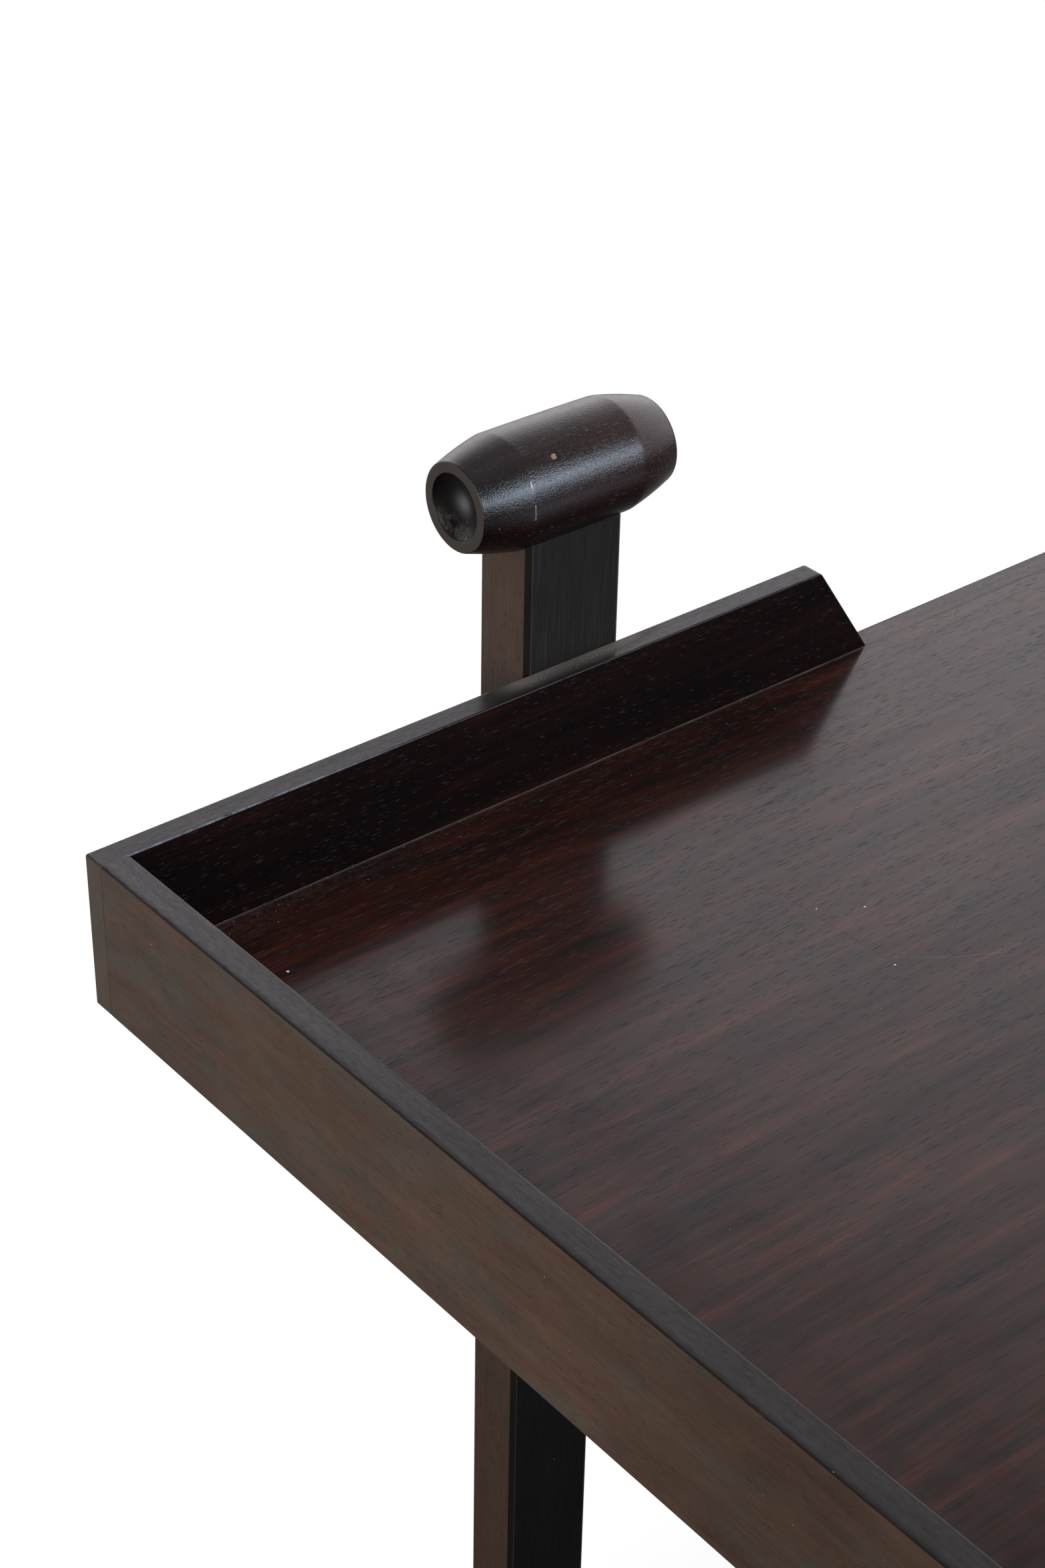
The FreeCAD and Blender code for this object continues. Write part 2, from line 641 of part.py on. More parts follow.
def caster_fork(end, side):
    """A bent strip: a crown on the stem and two legs that trail back to the axle."""
    body = corner_body("caster_fork", end, side)
    flank = sketch_on(body, "XZ_Plane")
    fork_side(flank)
    extrude(body, "Pad", flank, f"2 * {fork_half}", symmetric=True)

    gap = sketch_on(body, "XZ_Plane")
    reach = "(dims.trail + dims.boss_radius + dims.fork_top_half)"
    rectangle(gap, f"-{reach}", "0", reach, f"{fork_top} - dims.fork_crown")
    extrude(body, "Pocket", gap, f"2 * {fork_gap_half}", symmetric=True)

    outside_y, top_z = number(flank, fork_half), number(flank, fork_top)

    def shoulder_edge(edge):
        return spans(edge, "Z", top_z) and (spans(edge, "Y", outside_y) or spans(edge, "Y", -outside_y))

    dress(body, "Fillet", d("fork_round"), shoulder_edge)
    cross = sketch_on(body, "XZ_Plane")
    circle(cross, "-dims.trail", d("wheel_radius"), "dims.axle_radius + dims.axle_fit")
    extrude(body, "Pocket", cross, f"2 * {fork_half}", symmetric=True)
    eye = sketch_on(body, "XY_Plane", lift=fork_top)
    circle(eye, "0", "0", "dims.stem_radius + dims.stem_eye_fit")
    extrude(body, "Pocket", eye, d("fork_crown"))
    return body


def wheel_body(name, end, side):
    return corner_body(name, end, side, trail=d("trail"), z=d("wheel_radius"))


def caster_axle(end, side):
    """A pin across the fork with a domed head on each side."""
    body = wheel_body("caster_axle", end, side)
    head = "(dims.axle_radius + dims.axle_head_lip)"
    dome = arc_radius(head, d("axle_head_thick"))
    tip = f"({fork_half} + dims.axle_head_thick)"
    turn_across(body, [
        (f"-{tip}", "0", dome), (tip, "0"), (fork_half, head, dome), (fork_half, d("axle_radius")),
        (f"-{fork_half}", d("axle_radius")), (f"-{fork_half}", head),
    ])
    return body


def caster_core(end, side):
    """The wheel's hub, web and rim, turned in one piece."""
    body = wheel_body("caster_core", end, side)
    bore = "(dims.axle_radius + dims.hub_fit)"
    hub = d("hub_radius")
    web = "dims.core_web / 2"
    rim = "(dims.tyre_width / 2 - dims.core_lip)"
    inside = f"({core_radius} - dims.core_rim)"
    turn_across(body, [
        (f"-{hub_half}", bore), (hub_half, bore), (hub_half, hub), (web, hub), (web, inside), (rim, inside),
        (rim, core_radius), (f"-{rim}", core_radius), (f"-{rim}", inside), (f"-{web}", inside),
        (f"-{web}", hub), (f"-{hub_half}", hub),
    ])
    return body


def caster_tyre(end, side):
    body = wheel_body("caster_tyre", end, side)
    inside = f"({core_radius} + dims.tyre_fit)"
    half = "dims.tyre_width / 2"
    edge = "(dims.wheel_radius - dims.tyre_round)"
    tread = "(dims.tyre_width / 2 - dims.tyre_round)"
    turn_across(body, [
        (f"-{half}", inside), (half, inside), (half, edge), (tread, d("wheel_radius"), d("tyre_round")),
        (f"-{tread}", d("wheel_radius")), (f"-{half}", edge, d("tyre_round")),
    ])
    return body


parts = [grip_dowels()]
for tier in tiers:
    parts += [deck(tier), post_dowels(tier), corner_dowels(tier)]
    parts += [side_board(tier, side) for side in sides]
    parts += [end_board(tier, end) for end in ends]
for end, side in corners:
    parts += [post(end, side), grip(end, side)]
    parts += [caster_socket(end, side), caster_washer(end, side), caster_stem(end, side)]
    parts += [caster_fork(end, side), caster_axle(end, side), caster_core(end, side), caster_tyre(end, side)]

doc.recompute()
for item in doc.Objects:
    if "Invalid" in item.State or "Error" in item.State:
        raise ValueError(f"{item.Name} failed: {item.State}")
for part in parts:
    if part.Shape.isNull() or not part.Shape.isValid():
        raise ValueError(f"{part.Label} has no valid shape")

os.makedirs("parts", exist_ok=True)
for part in parts:
    part.Shape.exportStep(f"parts/{part.Label}.step")
    print(part.Label, "solids", len(part.Shape.Solids), "volume", round(part.Shape.Volume, 1))
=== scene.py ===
import math

import bpy
import numpy as np
from mathutils import Matrix, Vector


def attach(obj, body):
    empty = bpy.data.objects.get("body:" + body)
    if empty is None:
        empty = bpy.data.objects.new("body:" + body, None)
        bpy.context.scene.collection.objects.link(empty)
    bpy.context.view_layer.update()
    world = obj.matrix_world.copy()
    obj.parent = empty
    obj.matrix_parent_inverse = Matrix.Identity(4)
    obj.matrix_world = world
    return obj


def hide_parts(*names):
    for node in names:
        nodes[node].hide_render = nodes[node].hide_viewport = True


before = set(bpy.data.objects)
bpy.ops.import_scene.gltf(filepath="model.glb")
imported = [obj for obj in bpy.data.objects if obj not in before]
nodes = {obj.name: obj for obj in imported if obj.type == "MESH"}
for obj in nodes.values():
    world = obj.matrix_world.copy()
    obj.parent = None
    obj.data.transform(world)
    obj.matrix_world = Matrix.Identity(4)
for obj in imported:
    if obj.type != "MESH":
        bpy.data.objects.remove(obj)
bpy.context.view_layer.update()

scene = bpy.context.scene
ends = {"front": -1.0, "rear": 1.0}
sides = {"left": 1.0, "right": -1.0}


# shader helpers: put() adds a node, then wires or sets its sockets
def wire(tree, node, sockets):
    for key, value in sockets.items():
        if isinstance(value, bpy.types.NodeSocket):
            tree.links.new(value, node.inputs[key])
        else:
            node.inputs[key].default_value = value
    return node


def put(tree, kind, sockets=None, **settings):
    node = tree.nodes.new("ShaderNode" + kind)
    for name, value in settings.items():
        setattr(node, name, value)
    return wire(tree, node, sockets or {})


def calc(tree, operation, a, b=0.0):
    return put(tree, "Math", {0: a, 1: b}, operation=operation).outputs[0]


def times(tree, first, *others):
    for other in others:
        first = calc(tree, "MULTIPLY", first, other)
    return first


def plus(tree, a, b):
    return calc(tree, "ADD", a, b)


def minus(tree, a, b):
    return calc(tree, "SUBTRACT", a, b)


def larger(tree, a, b):
    return calc(tree, "MAXIMUM", a, b)


def unsigned(tree, value):
    return calc(tree, "ABSOLUTE", value)


def without(tree, mask):  # what a mask leaves free
    return minus(tree, 1.0, mask)


def decay(tree, value, rate):  # e to the power of minus rate times value
    return calc(tree, "POWER", math.e, times(tree, value, -rate))


def fade(tree, value, low, high):  # smooth step: 0 at low, 1 at high
    sockets = {"Value": value, "From Min": low, "From Max": high}
    return put(tree, "MapRange", sockets, interpolation_type="SMOOTHSTEP").outputs[0]


def spread(tree, value, low, high, first, last):  # straight map, held at both ends
    sockets = {"Value": value, "From Min": low, "From Max": high, "To Min": first, "To Max": last}
    return put(tree, "MapRange", sockets).outputs[0]


def blend(tree, share, under, over):  # one value into another
    return put(tree, "Mix", {0: share, 2: under, 3: over}, data_type="FLOAT").outputs[0]


def lay(tree, share, under, over):  # one colour over another
    return put(tree, "Mix", {0: share, 6: under, 7: over}, data_type="RGBA").outputs[2]


def ramp(tree, value, stops):
    node = put(tree, "ValToRGB", {0: value})
    points = node.color_ramp.elements
    while len(points) < len(stops):
        points.new(0.5)
    for point, (place, colour) in zip(points, stops):
        point.position = place
        point.color = (*colour, 1.0)
    return node.outputs[0]


def vectors(tree, operation, a, b):  # two vectors or colours into a third
    return put(tree, "VectorMath", {0: a, 1: b}, operation=operation).outputs[0]


def measure(tree, operation, a, b=(0.0, 0.0, 0.0)):  # one value from vectors
    return put(tree, "VectorMath", {0: a, 1: b}, operation=operation).outputs["Value"]


def grown(tree, vector, scale):  # a vector or colour times one value
    return put(tree, "VectorMath", {0: vector, "Scale": scale}, operation="SCALE").outputs[0]


def joined(tree, x, y, z):
    return put(tree, "CombineXYZ", {0: x, 1: y, 2: z}).outputs[0]


def parted(tree, vector):
    return put(tree, "SeparateXYZ", {0: vector}).outputs


def cloud(tree, vector, detail=2.0, rough=0.5, distort=0.0):
    sockets = {"Vector": vector, "Scale": 1.0, "Detail": detail, "Roughness": rough, "Distortion": distort}
    return put(tree, "TexNoise", sockets).outputs[0]


def clouds(tree, vector, waves, *form):  # noise with so many waves to a metre each way
    return cloud(tree, vectors(tree, "MULTIPLY", vector, waves), *form)


# a shader group: startGroup names the vectors and values that go in, endGroup what comes out
def startGroup(name, vectorNames, values):
    tree = bpy.data.node_groups.new(name, "ShaderNodeTree")
    for label in vectorNames:
        tree.interface.new_socket(label, in_out="INPUT", socket_type="NodeSocketVector")
    for label, value in values.items():
        socket = tree.interface.new_socket(label, in_out="INPUT", socket_type="NodeSocketFloat")
        socket.default_value = value
    return tree, tree.nodes.new("NodeGroupInput").outputs


def endGroup(tree, results, kind="Float"):
    for label in results:
        tree.interface.new_socket(label, in_out="OUTPUT", socket_type="NodeSocket" + kind)
    wire(tree, tree.nodes.new("NodeGroupOutput"), results)
    return tree


def use(tree, group, sockets):
    node = tree.nodes.new("ShaderNodeGroup")
    node.node_tree = group
    return wire(tree, node, sockets).outputs


def newMaterial(name):
    material = bpy.data.materials.new(name)
    material.use_nodes = True
    material.node_tree.nodes.clear()
    return material, material.node_tree


def closeMaterial(tree, sockets):
    shader = put(tree, "BsdfPrincipled", sockets)
    put(tree, "OutputMaterial", {"Surface": shader.outputs[0]})


# rosewood figure, grain along the vector's X: swaying streaks of three widths, dark veins, thin straight
# pores with finer flecks between them, fibres and a slow mottle. Waves are to a metre, spans are noise values
figureForm = {
    "swayWaves": (2.2, 5, 5), "sway": (0, 0.018, 0.018), "slant": (0.82, 0.57),
    "broad": (3.0, 45.0, 4.0), "narrow": (14.0, 240.0, 30.0), "hair": (30.0, 900.0, 900.0),
    "broadShare": 0.28, "narrowShare": 0.42, "hairShare": 0.3, "streakSpan": (0.36, 0.64),
    "veinWidth": 0.03, "veinSpan": (0.56, 0.4),
    "crowdWaves": (12, 70, 70), "crowdSpan": (0.36, 0.64, 0.3, 1.6), "poreReach": (0.12, 0.36),
    "poreSoft": 0.07, "fleckWaves": (230, 2300, 2300), "fleckReach": 0.3, "fleckSoft": 0.1,
    "fibreWaves": (45, 2200, 2200), "fibreSpan": (0.32, 0.68), "mottleWaves": (30, 60, 60),
}


def makeFigure():
    sizes = {"Pore Length": 0.009, "Pore Width": 0.0008, "Pore Share": 0.45}
    tree, give = startGroup("rosewoodFigure", ["Vector"], sizes)
    f = figureForm
    grain = give["Vector"]
    slow = {"Vector": vectors(tree, "MULTIPLY", grain, f["swayWaves"]), "Scale": 1.0, "Detail": 2.0}
    sway = vectors(tree, "SUBTRACT", put(tree, "TexNoise", slow).outputs[1], (0.5, 0.5, 0.5))
    x, y, z = parted(tree, vectors(tree, "ADD", grain, vectors(tree, "MULTIPLY", sway, f["sway"])))
    layer = plus(tree, times(tree, y, f["slant"][0]), times(tree, z, f["slant"][1]))

    def streaks(name, places, *form):
        waved = [times(tree, place, waves) for place, waves in zip(places, f[name])]
        return cloud(tree, joined(tree, *waved), *form)

    broad = streaks("broad", (x, layer, y), 2.0, 0.5)
    narrow = streaks("narrow", (x, layer, z), 3.0, 0.55)
    hair = streaks("hair", (x, y, z), 2.0, 0.55)
    thin = plus(tree, times(tree, narrow, f["narrowShare"]), times(tree, hair, f["hairShare"]))
    streak = plus(tree, times(tree, broad, f["broadShare"]), thin)
    crest = unsigned(tree, minus(tree, narrow, 0.5))
    vein = without(tree, fade(tree, crest, 0.0, f["veinWidth"]))

    # a pore fills the middle of its stretched cell, if the cell's chance falls under the share
    size = joined(tree, give["Pore Length"], give["Pore Width"], give["Pore Width"])
    cell = vectors(tree, "DIVIDE", grain, size)
    dash = put(tree, "TexVoronoi", {"Vector": cell, "Scale": 1.0, "Randomness": 1.0})
    chance = put(tree, "SeparateColor", {0: dash.outputs["Color"]}).outputs
    crowd = clouds(tree, grain, f["crowdWaves"], 2.0)
    share = times(tree, give["Pore Share"], spread(tree, crowd, *f["crowdSpan"]))
    reach = spread(tree, chance[1], 0.0, 1.0, *f["poreReach"])
    pore = fade(tree, minus(tree, reach, dash.outputs["Distance"]), 0.0, f["poreSoft"])
    cell = vectors(tree, "MULTIPLY", grain, f["fleckWaves"])
    fine = put(tree, "TexVoronoi", {"Vector": cell, "Scale": 1.0, "Randomness": 1.0})
    fleck = fade(tree, minus(tree, f["fleckReach"], fine.outputs["Distance"]), 0.0, f["fleckSoft"])
    fibre = clouds(tree, grain, f["fibreWaves"], 2.0, 0.6)
    return endGroup(tree, {
        "Streak": spread(tree, streak, *f["streakSpan"], 0.0, 1.0),
        "Vein": times(tree, vein, fade(tree, broad, *f["veinSpan"])),
        "Pore": times(tree, pore, calc(tree, "LESS_THAN", chance[0], share)),
        "Fleck": fleck,
        "Depth": chance[2],
        "Fibre": spread(tree, fibre, *f["fibreSpan"], 0.0, 1.0),
        "Mottle": clouds(tree, grain, f["mottleWaves"], 3.0, 0.6),
    })


# settled dust: specks and a thin film of grains where Zone is high, stray specks anywhere
dustForm = {
    "speckWaves": 1300.0, "zoneShare": 0.6, "speckSize": (0.1, 0.32), "speckSoft": 0.08,
    "hazeWaves": (430, 430, 430), "hazeSpan": (0.34, 0.66),
    "grainWaves": (3400, 3400, 3400), "grainSpan": (0.38, 0.62, 0.2, 1.15),
}


def makeDust():
    tree, give = startGroup("settledDust", ["Vector"], {"Zone": 0.0, "Stray": 0.0})
    f = dustForm
    grit = put(tree, "TexVoronoi", {"Vector": give["Vector"], "Scale": f["speckWaves"], "Randomness": 1.0})
    chance = put(tree, "SeparateColor", {0: grit.outputs["Color"]}).outputs
    likely = plus(tree, times(tree, give["Zone"], f["zoneShare"]), give["Stray"])
    size = spread(tree, times(tree, chance[1], chance[1]), 0.0, 1.0, *f["speckSize"])
    speck = fade(tree, minus(tree, size, grit.outputs["Distance"]), 0.0, f["speckSoft"])
    speck = times(tree, speck, calc(tree, "LESS_THAN", chance[0], likely))
    haze = clouds(tree, give["Vector"], f["hazeWaves"], 3.0, 0.65)
    grain = clouds(tree, give["Vector"], f["grainWaves"], 2.0, 0.7)
    film = times(tree, fade(tree, haze, *f["hazeSpan"]), spread(tree, grain, *f["grainSpan"]))
    return endGroup(tree, {"Speck": speck, "Film": times(tree, film, give["Zone"])})


# which way a face looks, told from the tray's middle: up, out or in across the width, out along the length
facingSpan = (0.74, 0.94)


def makeFacing():
    tree, give = startGroup("facing", ["Vector", "Normal"], {})
    place = parted(tree, give["Vector"])
    way = parted(tree, give["Normal"])
    across = times(tree, way[1], calc(tree, "SIGN", place[1]))
    along = times(tree, way[0], calc(tree, "SIGN", place[0]))
    looks = {
        "Top": way[2], "Outer": across, "Inner": times(tree, across, -1.0), "End": along,
        "Lengthwise": unsigned(tree, way[0]),
    }
    return endGroup(tree, {name: fade(tree, value, *facingSpan) for name, value in looks.items()})


# marks: an uneven spot of a given size about a point, and a fine straight line between two points
markForm = {"edgeWaves": (1400, 1400, 1400), "ragged": 0.9, "spotSpan": (1.5, 1.2), "core": 0.2}


def makeSpot():
    tree, give = startGroup("unevenSpot", ["Vector", "Centre"], {"Size": 0.001})
    away = measure(tree, "LENGTH", vectors(tree, "SUBTRACT", give["Vector"], give["Centre"]))
    edge = clouds(tree, give["Vector"], markForm["edgeWaves"], 2.0)
    ragged = plus(tree, calc(tree, "DIVIDE", away, give["Size"]), times(tree, edge, markForm["ragged"]))
    return endGroup(tree, {"Mask": fade(tree, ragged, *markForm["spotSpan"])})


def makeStroke():
    tree, give = startGroup("fineStroke", ["Vector", "First", "Last"], {"Width": 0.0003})
    way = vectors(tree, "SUBTRACT", give["Last"], give["First"])
    off = vectors(tree, "SUBTRACT", give["Vector"], give["First"])
    along = measure(tree, "DOT_PRODUCT", off, way)
    whole = measure(tree, "DOT_PRODUCT", way, way)
    foot = grown(tree, way, spread(tree, along, 0.0, whole, 0.0, 1.0))
    gap = measure(tree, "LENGTH", vectors(tree, "SUBTRACT", off, foot))
    core = times(tree, give["Width"], markForm["core"])
    return endGroup(tree, {"Mask": fade(tree, gap, give["Width"], core)})


# a worn matt face: patches of pink-brown and of grey with dark pores, scaled by one level at each side of the
# tray; where the two levels differ, the darker side is painted shade
wornForm = {
    "pink": [(0.0, (0.05, 0.03, 0.021)), (0.5, (0.072, 0.043, 0.03)), (1.0, (0.092, 0.053, 0.036))],
    "grey": [(0.0, (0.047, 0.0365, 0.0272)), (0.5, (0.063, 0.049, 0.0372)), (1.0, (0.075, 0.058, 0.0432))],
    "pore": (0.017, 0.013, 0.0105, 1.0), "poreShare": 0.7, "streakShare": 0.5, "fibreShare": 0.4,
    "patchWaves": (24, 75, 75), "greySpan": 0.2, "crossing": (0.0, -0.12), "gloss": 0.08, "fleckShare": 0.4,
}


def makeWorn():
    tree, give = startGroup("wornFace", ["Vector"], {
        "Across": 0.0, "Streak": 0.5, "Fibre": 0.5, "Dark": 0.0, "Grey From": 0.5, "Grey Drift": 0.0,
        "Level Left": 1.0, "Level Right": 1.0,
    })
    f = wornForm
    streak = times(tree, give["Streak"], f["streakShare"])
    faint = plus(tree, streak, times(tree, give["Fibre"], f["fibreShare"]))
    patch = clouds(tree, give["Vector"], f["patchWaves"], 4.0, 0.6)
    patch = plus(tree, patch, times(tree, give["Across"], give["Grey Drift"]))
    grey = fade(tree, minus(tree, patch, give["Grey From"]), 0.0, f["greySpan"])
    matt = lay(tree, grey, ramp(tree, faint, f["pink"]), ramp(tree, faint, f["grey"]))
    matt = lay(tree, times(tree, give["Dark"], f["poreShare"]), matt, f["pore"])
    # painted shade: the brightness moves from the left level to the right level across the tray
    side = fade(tree, give["Across"], *f["crossing"])
    level = spread(tree, side, 0.0, 1.0, give["Level Left"], give["Level Right"])
    return endGroup(tree, {"Colour": grown(tree, matt, level)}, "Color")


rosewoodFigure = makeFigure()
settledDust = makeDust()
facing = makeFacing()
unevenSpot = makeSpot()
fineStroke = makeStroke()
wornFace = makeWorn()
print("shader groups ready")

# what wood finishes share, unless their own values differ: turn lays the grain along X, lines trades streaks
# for straight fibres, faded names the worn matt faces
sharedFinish = {
    "turn": (0, 0, 0), "stray": 0.001, "faded": {}, "greyDrift": 0.0, "lines": 0.0, "veinShare": 0.4,
    "rough": (0.42, 0.55), "specular": 0.06, "topGloss": 0.0, "poreDepth": 0.0001,
    "topTone": (0.0105, 0.0092, 0.0092, 1.0), "topShare": 0.85, "darkPore": (0.008, 0.0066, 0.0062, 1.0),
    # the bluish-white pore tone below is a painted glint, and the span beside it picks the pores that get it
    "paintedGlintPore": (0.095, 0.099, 0.11, 1.0), "fleckShare": 0.42, "paintedGlintSpan": (0.25, 0.85, 0.25, 1.0),
    "streakSheen": 0.35, "fibreSheen": 0.3, "mottleSheen": 0.35, "sheenSpan": (0.25, 0.75),
    "topSheen": (0.66, 1.08), "wearWaves": (260, 800, 800), "wearSpan": (0.35, 0.6, 0.72, 1.08),
    "poreCut": 0.76, "mottleSpan": (0.3, 0.7), "fibreHeight": 0.12, "speckHeight": 1.5, "bump": 0.7,
    "dustTone": (0.34, 0.3, 0.24, 1.0), "filmTone": (0.108, 0.095, 0.087, 1.0), "filmShare": 0.75,
    "lineShare": 0.8, "coatIor": 1.5,
}

# wood finishes: tones are lacquered faces, pores are their length, width and share, greyFrom and greyDrift
# place the grey patches of worn faces, whose level is their brightness at the left and at the right, a
# difference between the two being painted shade; glint is the share of a painted glint in the pores
woodFinishes = {
    "deckRosewood": {
        "tones": [(0.0, (0.0085, 0.0033, 0.0025)), (0.36, (0.0145, 0.0048, 0.0034)),
                  (0.66, (0.022, 0.0068, 0.0045)), (1.0, (0.035, 0.0105, 0.0066))],
        "shift": (0.0, 0.0, 0.0), "pores": (0.009, 0.00054, 1.0), "poreShare": 0.9, "glint": 0.32,
        "gloss": (0.64, 0.88), "edgeGloss": 0.7, "glossRough": 0.17,
    },
    "sideRosewood": {
        "faded": {"End": 1.0, "Outer": 0.55}, "greyFrom": 0.24, "wornLevelAndShade": (1.2, 1.2),
        "tones": [(0.0, (0.0024, 0.0011, 0.0009)), (0.5, (0.0062, 0.002, 0.0015)),
                  (0.8, (0.0115, 0.0031, 0.0021)), (1.0, (0.022, 0.0056, 0.0035))],
        "shift": (0.37, 0.11, 0.05), "pores": (0.008, 0.00058, 0.62), "poreShare": 0.85, "glint": 0.64,
        "gloss": (0.02, 0.07), "edgeGloss": 0.9, "glossRough": 0.2, "topGloss": 0.7,
    },
    "endRosewood": {
        "turn": (0, 0, 90), "faded": {"End": 1.0, "Outer": 1.0}, "greyFrom": 0.44, "greyDrift": 0.3,
        "wornLevelAndShade": (1.1, 0.77), "rough": (0.46, 0.6), "poreDepth": 0.00008,
        "tones": [(0.0, (0.002, 0.0014, 0.0014)), (0.5, (0.0045, 0.0024, 0.0021)),
                  (0.8, (0.012, 0.0042, 0.0031)), (1.0, (0.03, 0.0085, 0.0055))],
        "shift": (0.21, 0.4, 0.17), "pores": (0.0075, 0.00075, 0.45), "poreShare": 0.8, "glint": 0.8,
        "gloss": (0.12, 0.26), "edgeGloss": 0.5, "glossRough": 0.26, "topGloss": 0.86,
    },
    "postRosewood": {
        "turn": (0, 90, 0), "faded": {"Lengthwise": 0.95}, "greyFrom": 0.54, "wornLevelAndShade": (1.0, 1.0),
        "lines": 0.6, "veinShare": 0.3, "stray": 0.0008, "rough": (0.45, 0.6), "specular": 0.15,
        "tones": [(0.0, (0.0054, 0.0044, 0.0041)), (0.45, (0.011, 0.0089, 0.0084)),
                  (0.78, (0.0184, 0.0145, 0.0132)), (1.0, (0.032, 0.0236, 0.0205))],
        "shift": (0.09, 0.27, 0.33), "pores": (0.006, 0.0007, 0.55), "poreShare": 0.5, "glint": 0.15,
        "gloss": (0.06, 0.14), "edgeGloss": 0.08, "glossRough": 0.32, "poreDepth": 0.00008,
    },
    "gripRosewood": {
        "veinShare": 0.3, "stray": 0.0016, "rough": (0.13, 0.2), "specular": 0.43,
        "tones": [(0.0, (0.0045, 0.0018, 0.0016)), (0.5, (0.0085, 0.0028, 0.0023)),
                  (0.8, (0.015, 0.0044, 0.0033)), (1.0, (0.03, 0.008, 0.0052))],
        "shift": (0.55, 0.02, 0.61), "pores": (0.005, 0.0006, 0.42), "poreShare": 0.8, "glint": 0.35,
        "gloss": (0.18, 0.23), "edgeGloss": 0.2, "glossRough": 0.23,
    },
}

# where the trays' faces lie (metres): rimTops are the lower and the upper tray's, between lies clear of both
tray = {
    "insideX": 0.438, "insideY": 0.2295, "deckTop": 0.69, "rimTops": (0.122, 0.735), "between": (0.4, 0.5),
    "postX": 0.225, "postHalf": 0.024, "postY": 0.24, "postFlat": 0.0218,
}


def spotMask(tree, place, centre, size):
    return use(tree, unevenSpot, {"Vector": place, "Centre": centre, "Size": size})["Mask"]


def strokeMask(tree, place, first, last, width):
    return use(tree, fineStroke, {"Vector": place, "First": first, "Last": last, "Width": width})["Mask"]


# the deck: dust along the boards round it and in their corners, red and grey bands, a smear near the ends,
# and cracks, a scratch, a stain and white specks, each placed by x and y
deckMarks = {
    "dustRate": 170.0, "cornerRate": 12.0, "dustLeast": 0.06, "line": (0.0002, 0.0019),
    "lineWaves": (70, 300, 300), "lineSpan": (0.35, 0.65, 0.45, 1.1),
    "bandWaves": (26, 180, 180), "bandSpan": (0.32, 0.68), "bandRed": (0.55, 1.7), "bandGreen": (0.84, 1.16),
    "smearWaves": (60, 14, 14), "smearSpan": (0.4, 0.62, 0.35, 1.0), "smearReach": (0.31, 0.4), "smear": 0.2,
    "cracks": [((-0.2261, 0.1165), (-0.2241, 0.0614)), ((-0.1771, 0.1198), (-0.1816, 0.1118)),
               ((-0.1721, 0.1009), (-0.1713, 0.0946))],
    "crackWidth": 0.00028, "crackTone": (0.006, 0.005, 0.005, 1.0), "crackShare": 0.12, "crackCut": 0.2,
    "scratch": [(-0.221, 0.061), (-0.2025, 0.0471), (-0.1871, 0.0388), (-0.1769, 0.0393)],
    "scratchWidth": 0.00032, "scratchTone": (0.24, 0.22, 0.21, 1.0), "scratchShare": 0.13,
    "stain": (-0.165, 0.1558), "stainSize": 0.0015, "stainCut": 0.13,
    "specks": [((-0.3996, 0.1896), 0.0006), ((-0.207, 0.0906), 0.0004), ((-0.2242, 0.0579), 0.0004),
               ((-0.2222, 0.1008), 0.0003)],
    "speckTone": (0.62, 0.6, 0.56, 1.0),
}


def onDeck(point):
    return (*point, tray["deckTop"])


def markDeck(tree, look):
    m, place, wood, gloss = deckMarks, look["place"], look["wood"], look["gloss"]
    x, y = parted(tree, place)[:2]
    gapX = minus(tree, tray["insideX"], unsigned(tree, x))
    gapY = minus(tree, tray["insideY"], unsigned(tree, y))
    beside = decay(tree, calc(tree, "MINIMUM", gapX, gapY), m["dustRate"])
    corner = decay(tree, plus(tree, gapX, gapY), m["cornerRate"])
    look["zone"] = times(tree, beside, plus(tree, m["dustLeast"], corner))
    uneven = spread(tree, clouds(tree, place, m["lineWaves"], 4.0, 0.65), *m["lineSpan"])
    look["line"] = times(tree, without(tree, fade(tree, gapY, *m["line"])), uneven)
    band = clouds(tree, look["turned"], m["bandWaves"], 4.0, 0.6)
    red = spread(tree, band, *m["bandSpan"], *m["bandRed"])
    green = spread(tree, band, *m["bandSpan"], *m["bandGreen"])
    wood = vectors(tree, "MULTIPLY", wood, joined(tree, red, green, 1.0))
    smear = spread(tree, clouds(tree, place, m["smearWaves"], 3.0), *m["smearSpan"])
    smear = times(tree, smear, fade(tree, unsigned(tree, x), *m["smearReach"]))
    gloss = minus(tree, gloss, times(tree, smear, m["smear"]))
    for first, last in m["cracks"]:
        crack = strokeMask(tree, place, onDeck(first), onDeck(last), m["crackWidth"])
        wood = lay(tree, times(tree, crack, m["crackShare"]), wood, m["crackTone"])
        gloss = minus(tree, gloss, times(tree, crack, m["crackCut"]))
    for first, last in zip(m["scratch"], m["scratch"][1:]):
        scratch = strokeMask(tree, place, onDeck(first), onDeck(last), m["scratchWidth"])
        wood = lay(tree, times(tree, scratch, m["scratchShare"]), wood, m["scratchTone"])
    stain = spotMask(tree, place, onDeck(m["stain"]), m["stainSize"])
    gloss = minus(tree, gloss, times(tree, stain, m["stainCut"]))
    for centre, size in m["specks"]:
        wood = lay(tree, spotMask(tree, place, onDeck(centre), size), wood, m["speckTone"])
    look.update(wood=wood, gloss=gloss)


# the end boards: a matt outer brink on the top face, faint stains
endMarks = {
    "brink": (0.4468, 0.4494), "brinkCut": 0.45,
    "stainWaves": (30, 70, 70), "stainSpan": (0.34, 0.66, 0.85, 1.11),
}


